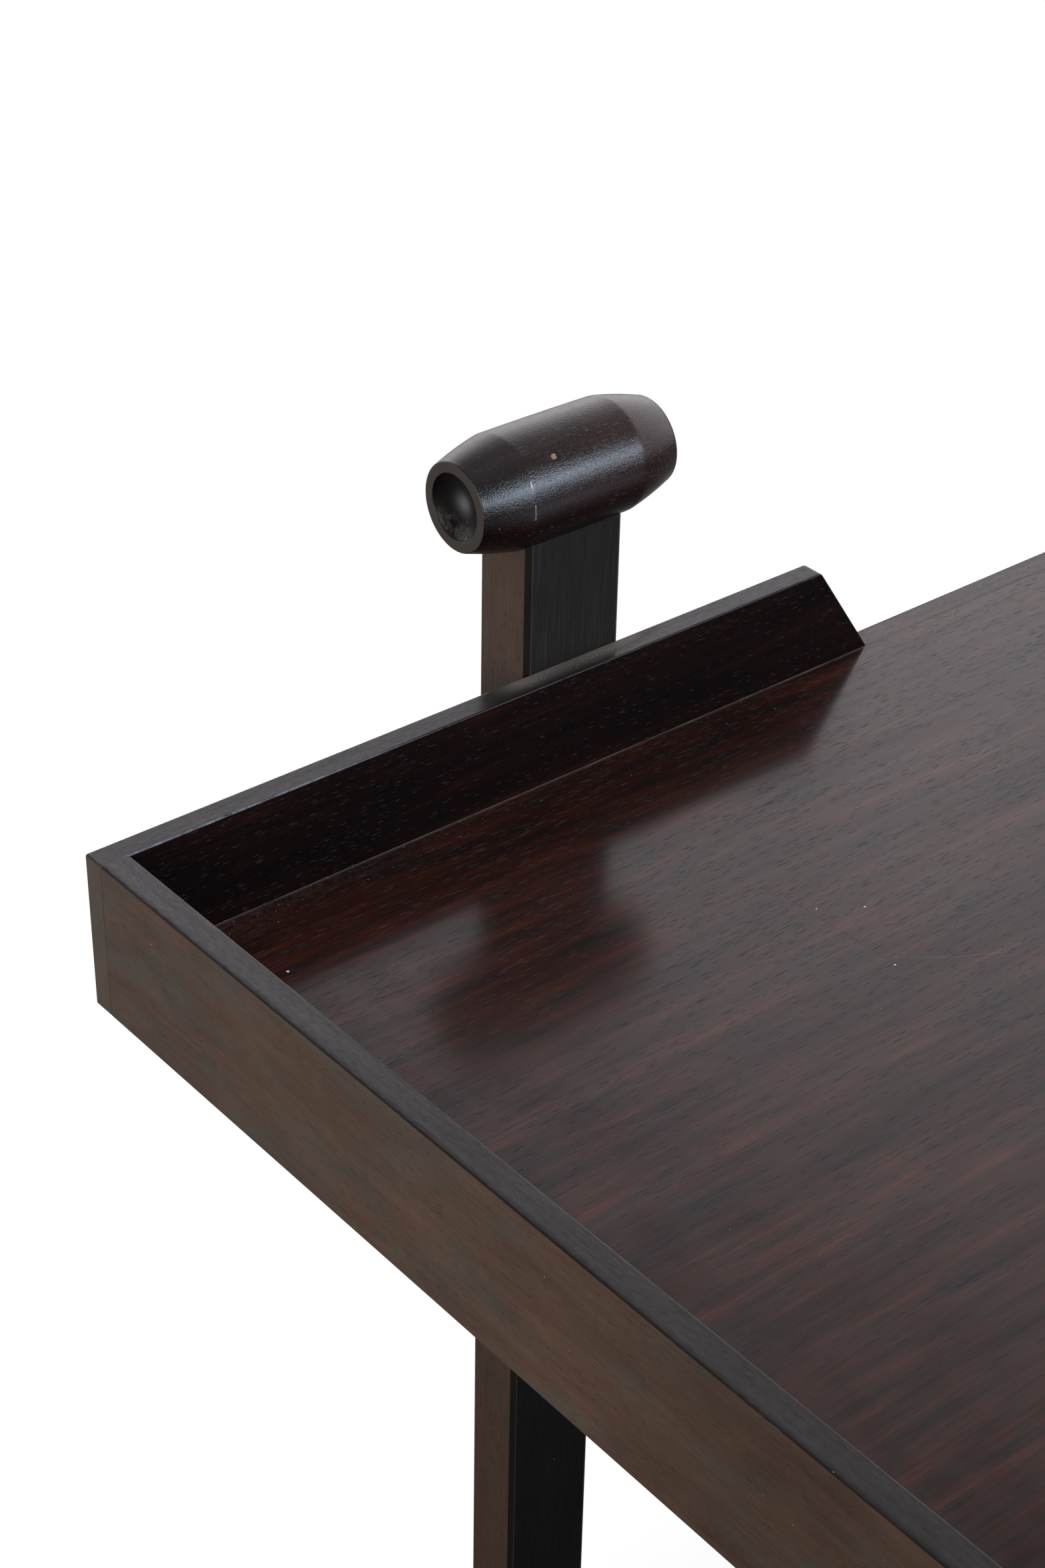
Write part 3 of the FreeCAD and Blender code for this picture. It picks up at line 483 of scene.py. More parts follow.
def markEnd(tree, look):
    m = endMarks
    x = parted(tree, look["place"])[0]
    brink = times(tree, look["top"], fade(tree, unsigned(tree, x), *m["brink"]))
    look["gloss"] = minus(tree, look["gloss"], times(tree, brink, m["brinkCut"]))
    stain = clouds(tree, look["turned"], m["stainWaves"], 5.0, 0.65, 0.4)
    look["wood"] = grown(tree, look["wood"], spread(tree, stain, *m["stainSpan"]))


# the side boards: the cut-down part matches the deck, dust lies beside the posts, and a painted highlight, a
# bluish-white line, lies along the rim's inner top edge near the tray's corners
sideMarks = {
    "lowSpan": (0.004, 0.002), "lowGloss": 0.18, "dust": 1.5, "film": (0.6, 1.1), "dustPast": 0.024,
    "dustFrom": (0.0105, 0.0015), "paintedHighlightTone": (0.13, 0.143, 0.172, 1.0), "paintedHighlight": (0.00074, 0.00046),
    "paintedHighlightReach": (0.29, 0.37), "paintedHighlightWaves": (160, 40, 40), "paintedHighlightSpan": (0.35, 0.62, 0.15, 1.0),
}


def markSide(tree, look):
    m, place, top = sideMarks, look["place"], look["top"]
    x, y, z = parted(tree, place)
    low = times(tree, top, fade(tree, z, *(tray["deckTop"] + rise for rise in m["lowSpan"])))
    deckWood = ramp(tree, look["streak"], woodFinishes["deckRosewood"]["tones"])
    wood = lay(tree, low, look["wood"], deckWood)
    look["gloss"] = blend(tree, low, look["gloss"], plus(tree, look["gloss"], m["lowGloss"]))
    along = unsigned(tree, minus(tree, unsigned(tree, x), tray["postX"]))
    beside = without(tree, fade(tree, along, tray["postHalf"], tray["postHalf"] + m["dustPast"]))
    close = fade(tree, unsigned(tree, y), *(tray["postY"] - gap for gap in m["dustFrom"]))
    look["zone"] = times(tree, beside, close, top, m["dust"])
    film = spread(tree, look["mottle"], *sharedFinish["mottleSpan"], *m["film"])
    look["line"] = times(tree, look["zone"], film)
    # painted highlight: a bluish-white line along the rim's inner top edge near the tray's corners
    drop = minus(tree, spread(tree, z, *tray["between"], *tray["rimTops"]), z)
    inward = minus(tree, unsigned(tree, y), tray["insideY"])
    uneven = spread(tree, clouds(tree, place, m["paintedHighlightWaves"], 4.0, 0.7), *m["paintedHighlightSpan"])
    paintedHighlight = times(tree, fade(tree, plus(tree, drop, inward), *m["paintedHighlight"]), uneven)
    paintedHighlight = times(tree, paintedHighlight, fade(tree, unsigned(tree, x), *m["paintedHighlightReach"]))
    look["wood"] = lay(tree, paintedHighlight, wood, m["paintedHighlightTone"])


# the posts: painted shade under the upper tray, scuffed wide faces, chamfers darkened with painted shade and
# a painted highlight line along them
postMarks = {
    "under": (0.66, 0.52), "paintedShadeAll": 0.08, "paintedShadeWide": 0.66, "scuffWaves": (28, 1500, 1500),
    "scuffSpan": (0.55, 0.75), "scuffMottle": (0.35, 0.65), "scuffShare": 0.6, "scuffUnder": 0.45,
    "scuffTone": (0.05, 0.048, 0.049, 1.0), "chamferShadeTone": (0.0075, 0.0052, 0.0038, 1.0),
    "arris": (0.0004, 0.0001), "arrisShare": 0.6, "arrisTone": (0.06, 0.056, 0.055, 1.0),
}


def markPost(tree, look):
    m, faces = postMarks, look["faces"]
    place = parted(tree, look["place"])
    wide = larger(tree, faces["Outer"], faces["Inner"])
    # painted shade: the posts darken under the upper tray, most on the wide faces, with fewer scuffs there
    under = fade(tree, place["Z"], *m["under"])
    paintedShade = times(tree, under, plus(tree, m["paintedShadeAll"], times(tree, wide, m["paintedShadeWide"])))
    wood = grown(tree, look["wood"], without(tree, paintedShade))
    scuff = clouds(tree, look["turned"], m["scuffWaves"], 3.0, 0.6)
    scuff = times(tree, fade(tree, scuff, *m["scuffSpan"]), fade(tree, look["mottle"], *m["scuffMottle"]))
    share = minus(tree, m["scuffShare"], times(tree, under, m["scuffUnder"]))
    wood = lay(tree, times(tree, scuff, wide, share), wood, m["scuffTone"])
    # painted shade: the rounded edges, the chamfers, get a dark tone
    wood = lay(tree, look["edge"], wood, m["chamferShadeTone"])
    # painted highlight: a pale line on the wide faces along the edge of each chamfer
    along = unsigned(tree, minus(tree, unsigned(tree, place["X"]), tray["postX"]))
    arris = fade(tree, unsigned(tree, minus(tree, along, tray["postFlat"])), *m["arris"])
    look["wood"] = lay(tree, times(tree, arris, wide, m["arrisShare"]), wood, m["arrisTone"])


# the grip: crowned barrel, two cones, a flat ring and a shallow dish at each end (metres), and the number of
# rows in each part of its profile
grip = {
    "x": 0.225, "y": 0.255, "z": 0.8098, "half": 0.048, "shoulder": 0.027, "shoulderRadius": 0.02345,
    "crown": 0.00015, "soft": 0.0008, "bulge": 0.0004, "endRadius": 0.0182, "endRound": 0.0008,
    "dishRadius": 0.0135, "lip": 0.00035, "dishDepth": 0.005, "pipRadius": 0.0006, "pipDepth": 0.00035,
    "chip": (-0.23819, 0.23871, 0.82729), "chipDepth": 0.00035, "chipSize": 0.0014,
    "around": 176, "middleRows": 22, "coneRows": 26, "cornerRows": 7, "lipRows": 6, "ringRows": 6,
    "dishRows": 40, "pipRows": 14, "pipPart": 0.1,
}

# its finish: tone and roughness of ring, dish (its near-black tone a painted shade), a painted highlight in
# the dish's middle and knocks, dust in the dish, brightness from one end to the other (painted light and
# shade), small pits, two painted highlights on the shoulder and the beads that break up its highlight
gripMarks = {
    "ring": ((0.033, 0.024, 0.018, 1.0), 0.6), "dish": ((0.0034, 0.0026, 0.0021, 1.0), 0.42),
    "paintedGlow": ((0.104, 0.101, 0.106, 1.0), 0.4), "knock": ((0.25, 0.15, 0.08, 1.0), 0.7),
    "dishEdge": 0.0003, "ringFrom": (0.00012, 0.00004), "ringEdge": 0.0005, "paintedGlowRate": 60000.0, "dull": 0.8,
    "dustFrom": (-0.003, -0.0105), "dust": 0.7, "paintedLightAndShade": (0.4, 2.1),
    "pits": [(-0.21533, 0.25137, 0.83342), (-0.23418, 0.25636, 0.83366)], "pitSize": 0.0007, "pitShare": 0.25,
    "paintedHighlights": [((-0.2524, 0.23505, 0.82205), (-0.2525, 0.234, 0.8203), 1.0),
             ((-0.2525, 0.23187, 0.81367), (-0.2525, 0.23164, 0.8078), 0.35)],
    "paintedHighlightTone": (0.62, 0.64, 0.68, 1.0), "paintedHighlightWidth": 0.00042, "paintedHighlightWaves": (2200, 2200, 2200),
    "paintedHighlightSpan": (0.35, 0.55, 0.2, 1.0), "beads": 2.6, "beadWaves": (1500, 1800, 1800),
}


def gripMasks(tree, place):
    m = gripMarks
    x, y, z = parted(tree, place)
    along = unsigned(tree, minus(tree, unsigned(tree, x), grip["x"]))
    out = minus(tree, unsigned(tree, y), grip["y"])
    rise = minus(tree, z, grip["z"])
    radial = calc(tree, "SQRT", plus(tree, times(tree, out, out), times(tree, rise, rise)))
    dish = without(tree, fade(tree, radial, grip["dishRadius"] - m["dishEdge"], grip["dishRadius"]))
    end = fade(tree, along, *(grip["half"] - gap for gap in m["ringFrom"]))
    ring = times(tree, end, fade(tree, radial, grip["dishRadius"], grip["dishRadius"] + m["ringEdge"]))
    # painted highlight: a pale patch round the pip in the dish's middle
    paintedGlow = times(tree, dish, decay(tree, times(tree, radial, radial), m["paintedGlowRate"]))
    dusty = times(tree, dish, fade(tree, rise, *m["dustFrom"]), m["dust"])
    knock = spotMask(tree, place, grip["chip"], grip["chipSize"])
    for pit in m["pits"]:
        knock = larger(tree, knock, times(tree, spotMask(tree, place, pit, m["pitSize"]), m["pitShare"]))
    return {"ring": ring, "dish": dish, "paintedGlow": paintedGlow, "knock": knock}, dusty


def markGrip(tree, look):
    m, place = gripMarks, look["place"]
    masks, look["zone"] = gripMasks(tree, place)
    x = parted(tree, place)[0]
    # painted light and shade: each grip darker toward its end at lower x, lighter toward the other
    along = minus(tree, x, times(tree, calc(tree, "SIGN", x), grip["x"]))
    wood = grown(tree, look["wood"], spread(tree, along, -grip["half"], grip["half"], *m["paintedLightAndShade"]))
    # the dish's near-black tone laid here is painted shade in the recess, and the pale tone in its middle a
    # painted highlight
    for name, mask in masks.items():
        tone, rough = m[name]
        wood = lay(tree, mask, wood, tone)
        look["rough"] = blend(tree, mask, look["rough"], rough)
        look["gloss"] = times(tree, look["gloss"], without(tree, mask))
    # painted highlights: two short pale strokes on the shoulder
    ragged = spread(tree, clouds(tree, place, m["paintedHighlightWaves"], 2.0), *m["paintedHighlightSpan"])
    for first, last, share in m["paintedHighlights"]:
        paintedHighlight = times(tree, strokeMask(tree, place, first, last, m["paintedHighlightWidth"]), share, ragged)
        wood = lay(tree, paintedHighlight, wood, m["paintedHighlightTone"])
    # painted shade: the dish is shaded as a metal of its near-black tone, so that it shows no sheen
    dull = times(tree, masks["dish"], without(tree, masks["paintedGlow"]), m["dull"])
    bead = clouds(tree, place, m["beadWaves"], 2.0, 0.6)
    look.update(wood=wood, dull=dull, bead=times(tree, bead, without(tree, masks["dish"]), m["beads"]))


markers = {
    "deckRosewood": markDeck, "sideRosewood": markSide, "endRosewood": markEnd, "postRosewood": markPost,
    "gripRosewood": markGrip,
}


def makeWood(name, finish):
    f = {**sharedFinish, **finish}
    material, tree = newMaterial(name)
    spot = put(tree, "TexCoord").outputs
    place = spot["Object"]
    turn = tuple(math.radians(a) for a in f["turn"])
    turned = put(tree, "Mapping", {"Vector": place, "Location": f["shift"], "Rotation": turn}).outputs[0]
    pores = dict(zip(("Pore Length", "Pore Width", "Pore Share"), f["pores"]))
    figure = use(tree, rosewoodFigure, {"Vector": turned, **pores})
    faces = use(tree, facing, {"Vector": place, "Normal": spot["Normal"]})
    fibre, mottle = figure["Fibre"], figure["Mottle"]
    streak = blend(tree, f["lines"], figure["Streak"], fibre)
    top = times(tree, faces["Top"], 1.0 if f["topGloss"] else 0.0)
    plain = without(tree, times(tree, top, f["topShare"]))
    pore = times(tree, figure["Pore"], plain)

    # lacquered wood with streaks and veins, and pores that are dark in a sheen; away from the top faces some
    # pores get a painted glint, a bluish-white tone that makes them look lit on a dark face
    wood = ramp(tree, streak, f["tones"])
    wood = lay(tree, times(tree, figure["Vein"], f["veinShare"]), wood, (*f["tones"][0][1], 1.0))
    wood = lay(tree, times(tree, top, f["topShare"]), wood, f["topTone"])
    wood = lay(tree, times(tree, figure["Fleck"], f["fleckShare"]), wood, f["darkPore"])
    paintedGlint = spread(tree, figure["Depth"], *f["paintedGlintSpan"])
    paintedGlint = times(tree, paintedGlint, f["glint"], without(tree, top))
    inPore = lay(tree, paintedGlint, f["darkPore"], f["paintedGlintPore"])
    wood = lay(tree, times(tree, pore, f["poreShare"]), wood, inPore)
    fine = plus(tree, times(tree, fibre, f["fibreSheen"]), times(tree, mottle, f["mottleSheen"]))
    sheen = plus(tree, times(tree, streak, f["streakSheen"]), fine)
    gloss = spread(tree, sheen, *f["sheenSpan"], *f["gloss"])
    topSheen = [share * f["topGloss"] for share in f["topSheen"]]
    topSheen = spread(tree, sheen, *f["sheenSpan"], *topSheen)
    wear = spread(tree, clouds(tree, turned, f["wearWaves"], 4.0, 0.7), *f["wearSpan"])
    gloss = blend(tree, top, gloss, times(tree, topSheen, wear))

    # rounded edges, with a gloss of their own
    flat = larger(tree, faces["Top"], larger(tree, faces["Inner"], faces["Outer"]))
    edge = without(tree, larger(tree, flat, faces["Lengthwise"]))
    gloss = blend(tree, edge, gloss, f["edgeGloss"])

    # worn matt faces
    if f["faded"]:
        worn = 0.0
        for side, share in f["faded"].items():
            worn = larger(tree, worn, times(tree, faces[side], share))
        matt = use(tree, wornFace, {
            "Vector": turned, "Across": parted(tree, place)[1], "Streak": streak, "Fibre": fibre,
            "Dark": larger(tree, figure["Pore"], times(tree, figure["Fleck"], wornForm["fleckShare"])),
            "Grey From": f["greyFrom"], "Grey Drift": f["greyDrift"],
            "Level Left": f["wornLevelAndShade"][0], "Level Right": f["wornLevelAndShade"][1],
        })["Colour"]
        wood = lay(tree, worn, wood, matt)
        gloss = blend(tree, worn, gloss, wornForm["gloss"])
    gloss = minus(tree, gloss, times(tree, pore, f["poreCut"]))

    # what only one finish has, then dust over all
    look = {
        "place": place, "turned": turned, "faces": faces, "streak": streak, "mottle": mottle, "top": top,
        "edge": edge, "wood": wood, "gloss": gloss, "zone": 0.0, "line": 0.0, "dull": None, "bead": None,
        "rough": spread(tree, mottle, *f["mottleSpan"], *f["rough"]),
    }
    markers[name](tree, look)
    dust = use(tree, settledDust, {"Vector": place, "Zone": look["zone"], "Stray": f["stray"]})
    speck = dust["Speck"]
    film = times(tree, dust["Film"], f["filmShare"])
    film = larger(tree, film, times(tree, look["line"], f["lineShare"]))
    film = calc(tree, "MINIMUM", film, 1.0)
    wood = lay(tree, speck, lay(tree, film, look["wood"], f["filmTone"]), f["dustTone"])
    gloss = minus(tree, minus(tree, look["gloss"], film), speck)
    metal = 0.0
    if look["dull"] is not None:
        metal = times(tree, look["dull"], without(tree, larger(tree, film, speck)))
    height = minus(tree, times(tree, fibre, f["fibreHeight"]), figure["Pore"])
    height = plus(tree, height, times(tree, speck, f["speckHeight"]))
    if look["bead"] is not None:
        height = plus(tree, height, look["bead"])
    relief = {"Strength": f["bump"], "Distance": f["poreDepth"], "Height": height}
    closeMaterial(tree, {
        "Base Color": wood, "Roughness": look["rough"], "Metallic": metal,
        "Normal": put(tree, "Bump", relief).outputs[0], "Specular IOR Level": f["specular"],
        "Coat Weight": larger(tree, gloss, 0.0), "Coat Roughness": f["glossRough"],
        "Coat IOR": f["coatIor"],
    })
    return material


woods = {name: makeWood(name, finish) for name, finish in woodFinishes.items()}

# small parts: tone, how far it darkens, roughness, metal share, staining in waves to a metre
smallFinishes = {
    "beechRaw": ((0.42, 0.25, 0.12), 0.55, (0.55, 0.7), 0.0, (40, 900, 900)),
    "brassWorn": ((0.58, 0.38, 0.14), 0.34, (0.2, 0.46), 1.0, (140, 140, 140)),
    "steelTurned": ((0.46, 0.45, 0.43), 0.45, (0.24, 0.42), 1.0, (90, 90, 1500)),
    "nylonRing": ((0.62, 0.58, 0.48), 0.75, (0.38, 0.52), 0.0, (300, 300, 300)),
    "coreMoulded": ((0.02, 0.017, 0.014), 0.5, (0.32, 0.5), 0.0, (260, 260, 260)),
    "tyreRubber": ((0.018, 0.018, 0.018), 0.6, (0.55, 0.75), 0.0, (420, 420, 420)),
}
smallForm = {
    "stainSpan": (0.38, 0.72), "fineWaves": (1600, 1600, 1600), "stainRough": 0.7, "fineRough": 0.3,
    "roughSpan": (0.35, 0.65), "zone": 0.02, "stray": 0.012, "dustShare": 0.7, "bump": 0.35, "depth": 0.00006,
}


def makeSmall(name, tone, dark, rough, metal, waves):
    f = smallForm
    material, tree = newMaterial(name)
    place = put(tree, "TexCoord").outputs["Object"]
    stain = clouds(tree, place, waves, 5.0, 0.62, 0.3)
    fine = clouds(tree, place, f["fineWaves"], 2.0, 0.6)
    deep = tuple(dark * c for c in tone)
    colour = lay(tree, fade(tree, stain, *f["stainSpan"]), (*tone, 1.0), (*deep, 1.0))
    dust = use(tree, settledDust, {"Vector": place, "Zone": f["zone"], "Stray": f["stray"]})
    colour = lay(tree, times(tree, dust["Speck"], f["dustShare"]), colour, sharedFinish["dustTone"])
    uneven = plus(tree, times(tree, stain, f["stainRough"]), times(tree, fine, f["fineRough"]))
    uneven = spread(tree, uneven, *f["roughSpan"], *rough)
    relief = {"Strength": f["bump"], "Distance": f["depth"], "Height": plus(tree, stain, fine)}
    closeMaterial(tree, {
        "Base Color": colour, "Roughness": uneven, "Metallic": metal,
        "Normal": put(tree, "Bump", relief).outputs[0],
    })
    return material


smalls = {name: makeSmall(name, *finish) for name, finish in smallFinishes.items()}
finishes = {**woods, **smalls}

# the first word that a node's name holds gives its finish
finishByWord = {
    "dowels": "beechRaw", "deck": "deckRosewood", "side_board": "sideRosewood", "end_board": "endRosewood",
    "post": "postRosewood", "grip": "gripRosewood", "socket": "brassWorn", "fork": "brassWorn",
    "axle": "brassWorn", "stem": "steelTurned", "washer": "nylonRing", "core": "coreMoulded",
    "tyre": "tyreRubber",
}
for name, thing in nodes.items():
    finish = next(finish for word, finish in finishByWord.items() if word in name)
    thing.data.materials.clear()
    thing.data.materials.append(finishes[finish])
print("finishes laid on", len(nodes), "nodes")


# curve pieces for profiles, each a row of (along, radius) points
def arc(centre, radius, start, stop, count):  # part of a circle, angles in degrees from the along axis
    turn = np.radians(np.linspace(start, stop, count))
    return np.stack([centre[0] + radius * np.cos(turn), centre[1] + radius * np.sin(turn)], axis=1)


def run(first, last, count):  # a straight run
    return np.linspace(first, last, count)


def bend(first, middle, last, count):  # a soft corner: a quadratic curve pulled to middle
    t = np.linspace(0, 1, count)[:, None]
    return (1 - t) ** 2 * np.array(first) + 2 * t * (1 - t) * np.array(middle) + t ** 2 * np.array(last)


# a turned surface: each profile row is a circle of its radius about the axis, at its distance along it.
# A closed profile joins its last row to its first; an open one ends in two points on the axis
def turnedPiece(name, centre, axis, profile, count, closed, shift=None):
    axis = np.array(axis, dtype=float)
    first = np.array((0.0, 0.0, 1.0))
    second = np.cross(axis, first)
    angle = np.linspace(0, 2 * np.pi, count, endpoint=False)
    ring = np.cos(angle)[:, None] * first + np.sin(angle)[:, None] * second
    along = np.repeat(profile[:, :1], count, axis=1)
    radius = np.repeat(profile[:, 1:], count, axis=1)
    if shift is not None:
        along, radius = shift(along, radius, angle[None, :])
    points = np.array(centre) + along[..., None] * axis + radius[..., None] * ring[None]
    rows = len(profile)
    if closed:
        lower, upper = np.arange(rows), np.roll(np.arange(rows), -1)
        vertices = points.reshape(-1, 3)
    else:
        points = points[1:-1]
        rows -= 2
        lower, upper = np.arange(rows - 1), np.arange(1, rows)
        poles = np.array(centre) + profile[[0, -1], :1] * axis
        vertices = np.concatenate([points.reshape(-1, 3), poles])
    here = np.arange(count)
    after = np.roll(here, -1)
    corner = [lower[:, None] * count + here, lower[:, None] * count + after,
              upper[:, None] * count + after, upper[:, None] * count + here]
    faces = np.stack(corner, axis=-1).reshape(-1, 4).tolist()
    if not closed:
        last = (rows - 1) * count
        start = np.stack([np.full(count, rows * count), after, here], axis=1)
        stop = np.stack([np.full(count, rows * count + 1), last + here, last + after], axis=1)
        faces += start.tolist() + stop.tolist()
    mesh = bpy.data.meshes.new(name)
    mesh.from_pydata(vertices.tolist(), [], faces)
    mesh.polygons.foreach_set("use_smooth", np.ones(len(mesh.polygons), dtype=bool))
    mesh.update()
    thing = bpy.data.objects.new(name, mesh)
    scene.collection.objects.link(thing)
    return thing


def gripProfile(g):  # half of it from the middle outwards, then mirrored; the dish is part of a ball
    x = np.linspace(0, g["shoulder"] - g["soft"], g["middleRows"])
    middle = np.stack([x, g["shoulderRadius"] + g["crown"] * (1 - (x / g["shoulder"]) ** 2)], axis=1)
    coneStart = np.array((g["shoulder"], g["shoulderRadius"]))
    coneEnd = np.array((g["half"] - g["endRound"], g["endRadius"]))
    t = np.linspace(0, 1, g["coneRows"])
    cone = coneStart + t[:, None] * (coneEnd - coneStart)
    cone[:, 1] += 4 * g["bulge"] * t * (1 - t)
    cone = cone[cone[:, 0] > g["shoulder"] + g["soft"]]
    shoulder = bend(middle[-1], coneStart, cone[0], g["cornerRows"])[1:-1]
    rim = arc((coneEnd[0], coneEnd[1] - g["endRound"]), g["endRound"], 90, 0, g["cornerRows"])[1:]
    lip = arc((g["half"] - g["lip"], g["dishRadius"] + g["lip"]), g["lip"], 0, -90, g["lipRows"])
    ring = run(rim[-1], lip[0], g["ringRows"])[1:-1]
    sag = g["dishDepth"] - g["lip"]
    ball = (g["dishRadius"] ** 2 + sag ** 2) / (2 * sag)
    outer, inner = np.linspace(1, g["pipPart"], g["dishRows"]), np.linspace(g["pipPart"], 0, g["pipRows"])
    r = g["dishRadius"] * np.concatenate([outer, inner[1:]])[1:]
    pip = g["pipDepth"] * np.exp(-((r / g["pipRadius"]) ** 4))
    bowl = np.stack([lip[-1, 0] + ball - sag - np.sqrt(ball ** 2 - r ** 2) - pip, r], axis=1)
    bowl[-1, 1] = 0.0
    half = np.concatenate([middle, shoulder, cone, rim, ring, lip, bowl])
    return np.concatenate([half[::-1] * (-1, 1), half[1:]])


# the chip is a small round hollow knocked into the barrel
def chipped(centre):
    gap = np.array(grip["chip"]) - centre
    place = np.arctan2(-gap[1], gap[2])

    def shift(along, radius, angle):
        off = (angle - place + np.pi) % (2 * np.pi) - np.pi
        away = np.hypot(along - gap[0], off * radius) / grip["chipSize"]
        return along, radius - grip["chipDepth"] * np.exp(-away ** 2) * (radius > grip["endRadius"])

    return shift


gripRows = gripProfile(grip)
for end, wayX in ends.items():
    for side, wayY in sides.items():
        centre = np.array((wayX * grip["x"], wayY * grip["y"], grip["z"]))
        shift = chipped(centre) if (end, side) == ("front", "left") else None
        name = f"turnedGrip_{end}_{side}"
        piece = turnedPiece(name, centre, (1, 0, 0), gripRows, grip["around"], False, shift)
        piece.data.materials.append(finishes["gripRosewood"])
        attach(piece, "frame")
        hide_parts(f"grip_{end}_{side}")
print("grips turned")

# the wheel: a ribbed core in a rubber tyre with a mould line, turned about the axle (metres)
wheel = {
    "x": 0.225, "trail": 0.022, "y": 0.255, "z": 0.028, "around": 128, "soft": 0.0006,
    "bore": 0.00308, "hub": 0.008, "hubHalf": 0.011, "web": 0.003, "inside": 0.017, "rimHalf": 0.0085,
    "core": 0.0205, "ribs": 6, "ribRise": 0.0016, "ribSlope": 3.0, "ribCut": 1.6, "ribGap": 0.001,
    "ribRamp": 0.0012, "webNear": 0.0002,
    "tyreInside": 0.02055, "tyreHalf": 0.01, "tread": 0.02785, "radius": 0.028, "round": 0.004,
    "mouldWidth": 0.0005, "groove": 0.00035, "grooveAt": 0.0224, "grooveWidth": 0.0004, "boreSoft": 0.0004,
    "wallGap": 0.0002,
}


def coreProfile(w):  # half the section from the bore over hub and web to the rim's outside, then mirrored
    bore, hub, hubHalf, web = w["bore"], w["hub"], w["hubHalf"], w["web"]
    inside, rimHalf, core, s = w["inside"], w["rimHalf"], w["core"], w["soft"]
    half = np.concatenate([
        run((0.0, bore), (hubHalf, bore), 4),
        run((hubHalf, bore + s), (hubHalf, hub - 2 * s), 4),
        bend((hubHalf, hub - s), (hubHalf, hub), (hubHalf - s, hub), 5),
        run((hubHalf - 2 * s, hub), (web + 3 * s, hub), 5),
        bend((web + 2 * s, hub), (web, hub), (web, hub + 2 * s), 5),
        run((web, hub + 3 * s), (web, inside - 3 * s), 12),
        bend((web, inside - 2 * s), (web, inside), (web + 2 * s, inside), 5),
        run((web + 3 * s, inside), (rimHalf - 2 * s, inside), 5),
        bend((rimHalf - s, inside), (rimHalf, inside), (rimHalf, inside + s), 5),
        bend((rimHalf, core - s), (rimHalf, core), (rimHalf - s, core), 5),
        run((rimHalf - 2 * s, core), (0.0, core), 4),
    ])
    return np.concatenate([half, half[1:-1][::-1] * (-1, 1)])[::-1]


def ribbed(along, radius, angle):  # the web rises into narrow spokes between hub and rim
    w = wheel
    spoke = np.clip(np.cos(angle * w["ribs"]) * w["ribSlope"] - w["ribCut"], 0, 1)
    fromHub = np.clip((radius - w["hub"] - w["ribGap"]) / w["ribRamp"], 0, 1)
    fromRim = np.clip((w["inside"] - w["ribGap"] - radius) / w["ribRamp"], 0, 1)
    onWeb = np.abs(np.abs(along) - w["web"]) < w["webNear"]
    return along + np.sign(along) * w["ribRise"] * spoke * (fromHub * fromRim) * onWeb, radius


def tyreProfile(w):  # half the section from the bore over grooved wall and shoulder to the mould line
    x = np.linspace(w["tyreHalf"] - w["round"], 0, 13)[1:]
    mould = (w["radius"] - w["tread"]) * np.exp(-((x / w["mouldWidth"]) ** 2))
    tread = np.stack([x, w["tread"] + mould], axis=1)
    r = np.linspace(w["tyreInside"] + w["boreSoft"], w["tread"] - w["round"] - w["wallGap"], 12)
    groove = w["groove"] * np.exp(-(((r - w["grooveAt"]) / w["grooveWidth"]) ** 2))
    wall = np.stack([w["tyreHalf"] - groove, r], axis=1)
    shoulder = arc((w["tyreHalf"] - w["round"], w["tread"] - w["round"]), w["round"], 0, 90, 12)
    bore = run((0.0, w["tyreInside"]), (w["tyreHalf"] - w["boreSoft"], w["tyreInside"]), 5)
    half = np.concatenate([bore, wall, shoulder, tread])
    return np.concatenate([half, half[1:-1][::-1] * (-1, 1)])[::-1]


coreRows, tyreRows = coreProfile(wheel), tyreProfile(wheel)
for end, wayX in ends.items():
    for side, wayY in sides.items():
        centre = np.array((wayX * wheel["x"] - wheel["trail"], wayY * wheel["y"], wheel["z"]))
        axle = (centre, (0, 1, 0))
        core = turnedPiece(f"wheelCore_{end}_{side}", *axle, coreRows, wheel["around"], True, ribbed)
        tyre = turnedPiece(f"wheelTyre_{end}_{side}", *axle, tyreRows, wheel["around"], True)
        pieces = ((core, "core", "wheel_core", "coreMoulded"), (tyre, "tyre", "tyre", "tyreRubber"))
        for piece, node, slot, finish in pieces:
            piece.data.materials.append(finishes[finish])
            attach(piece, f"wheel_{end}_{side}")
            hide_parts(f"caster_{node}_{end}_{side}")
print("wheels turned")

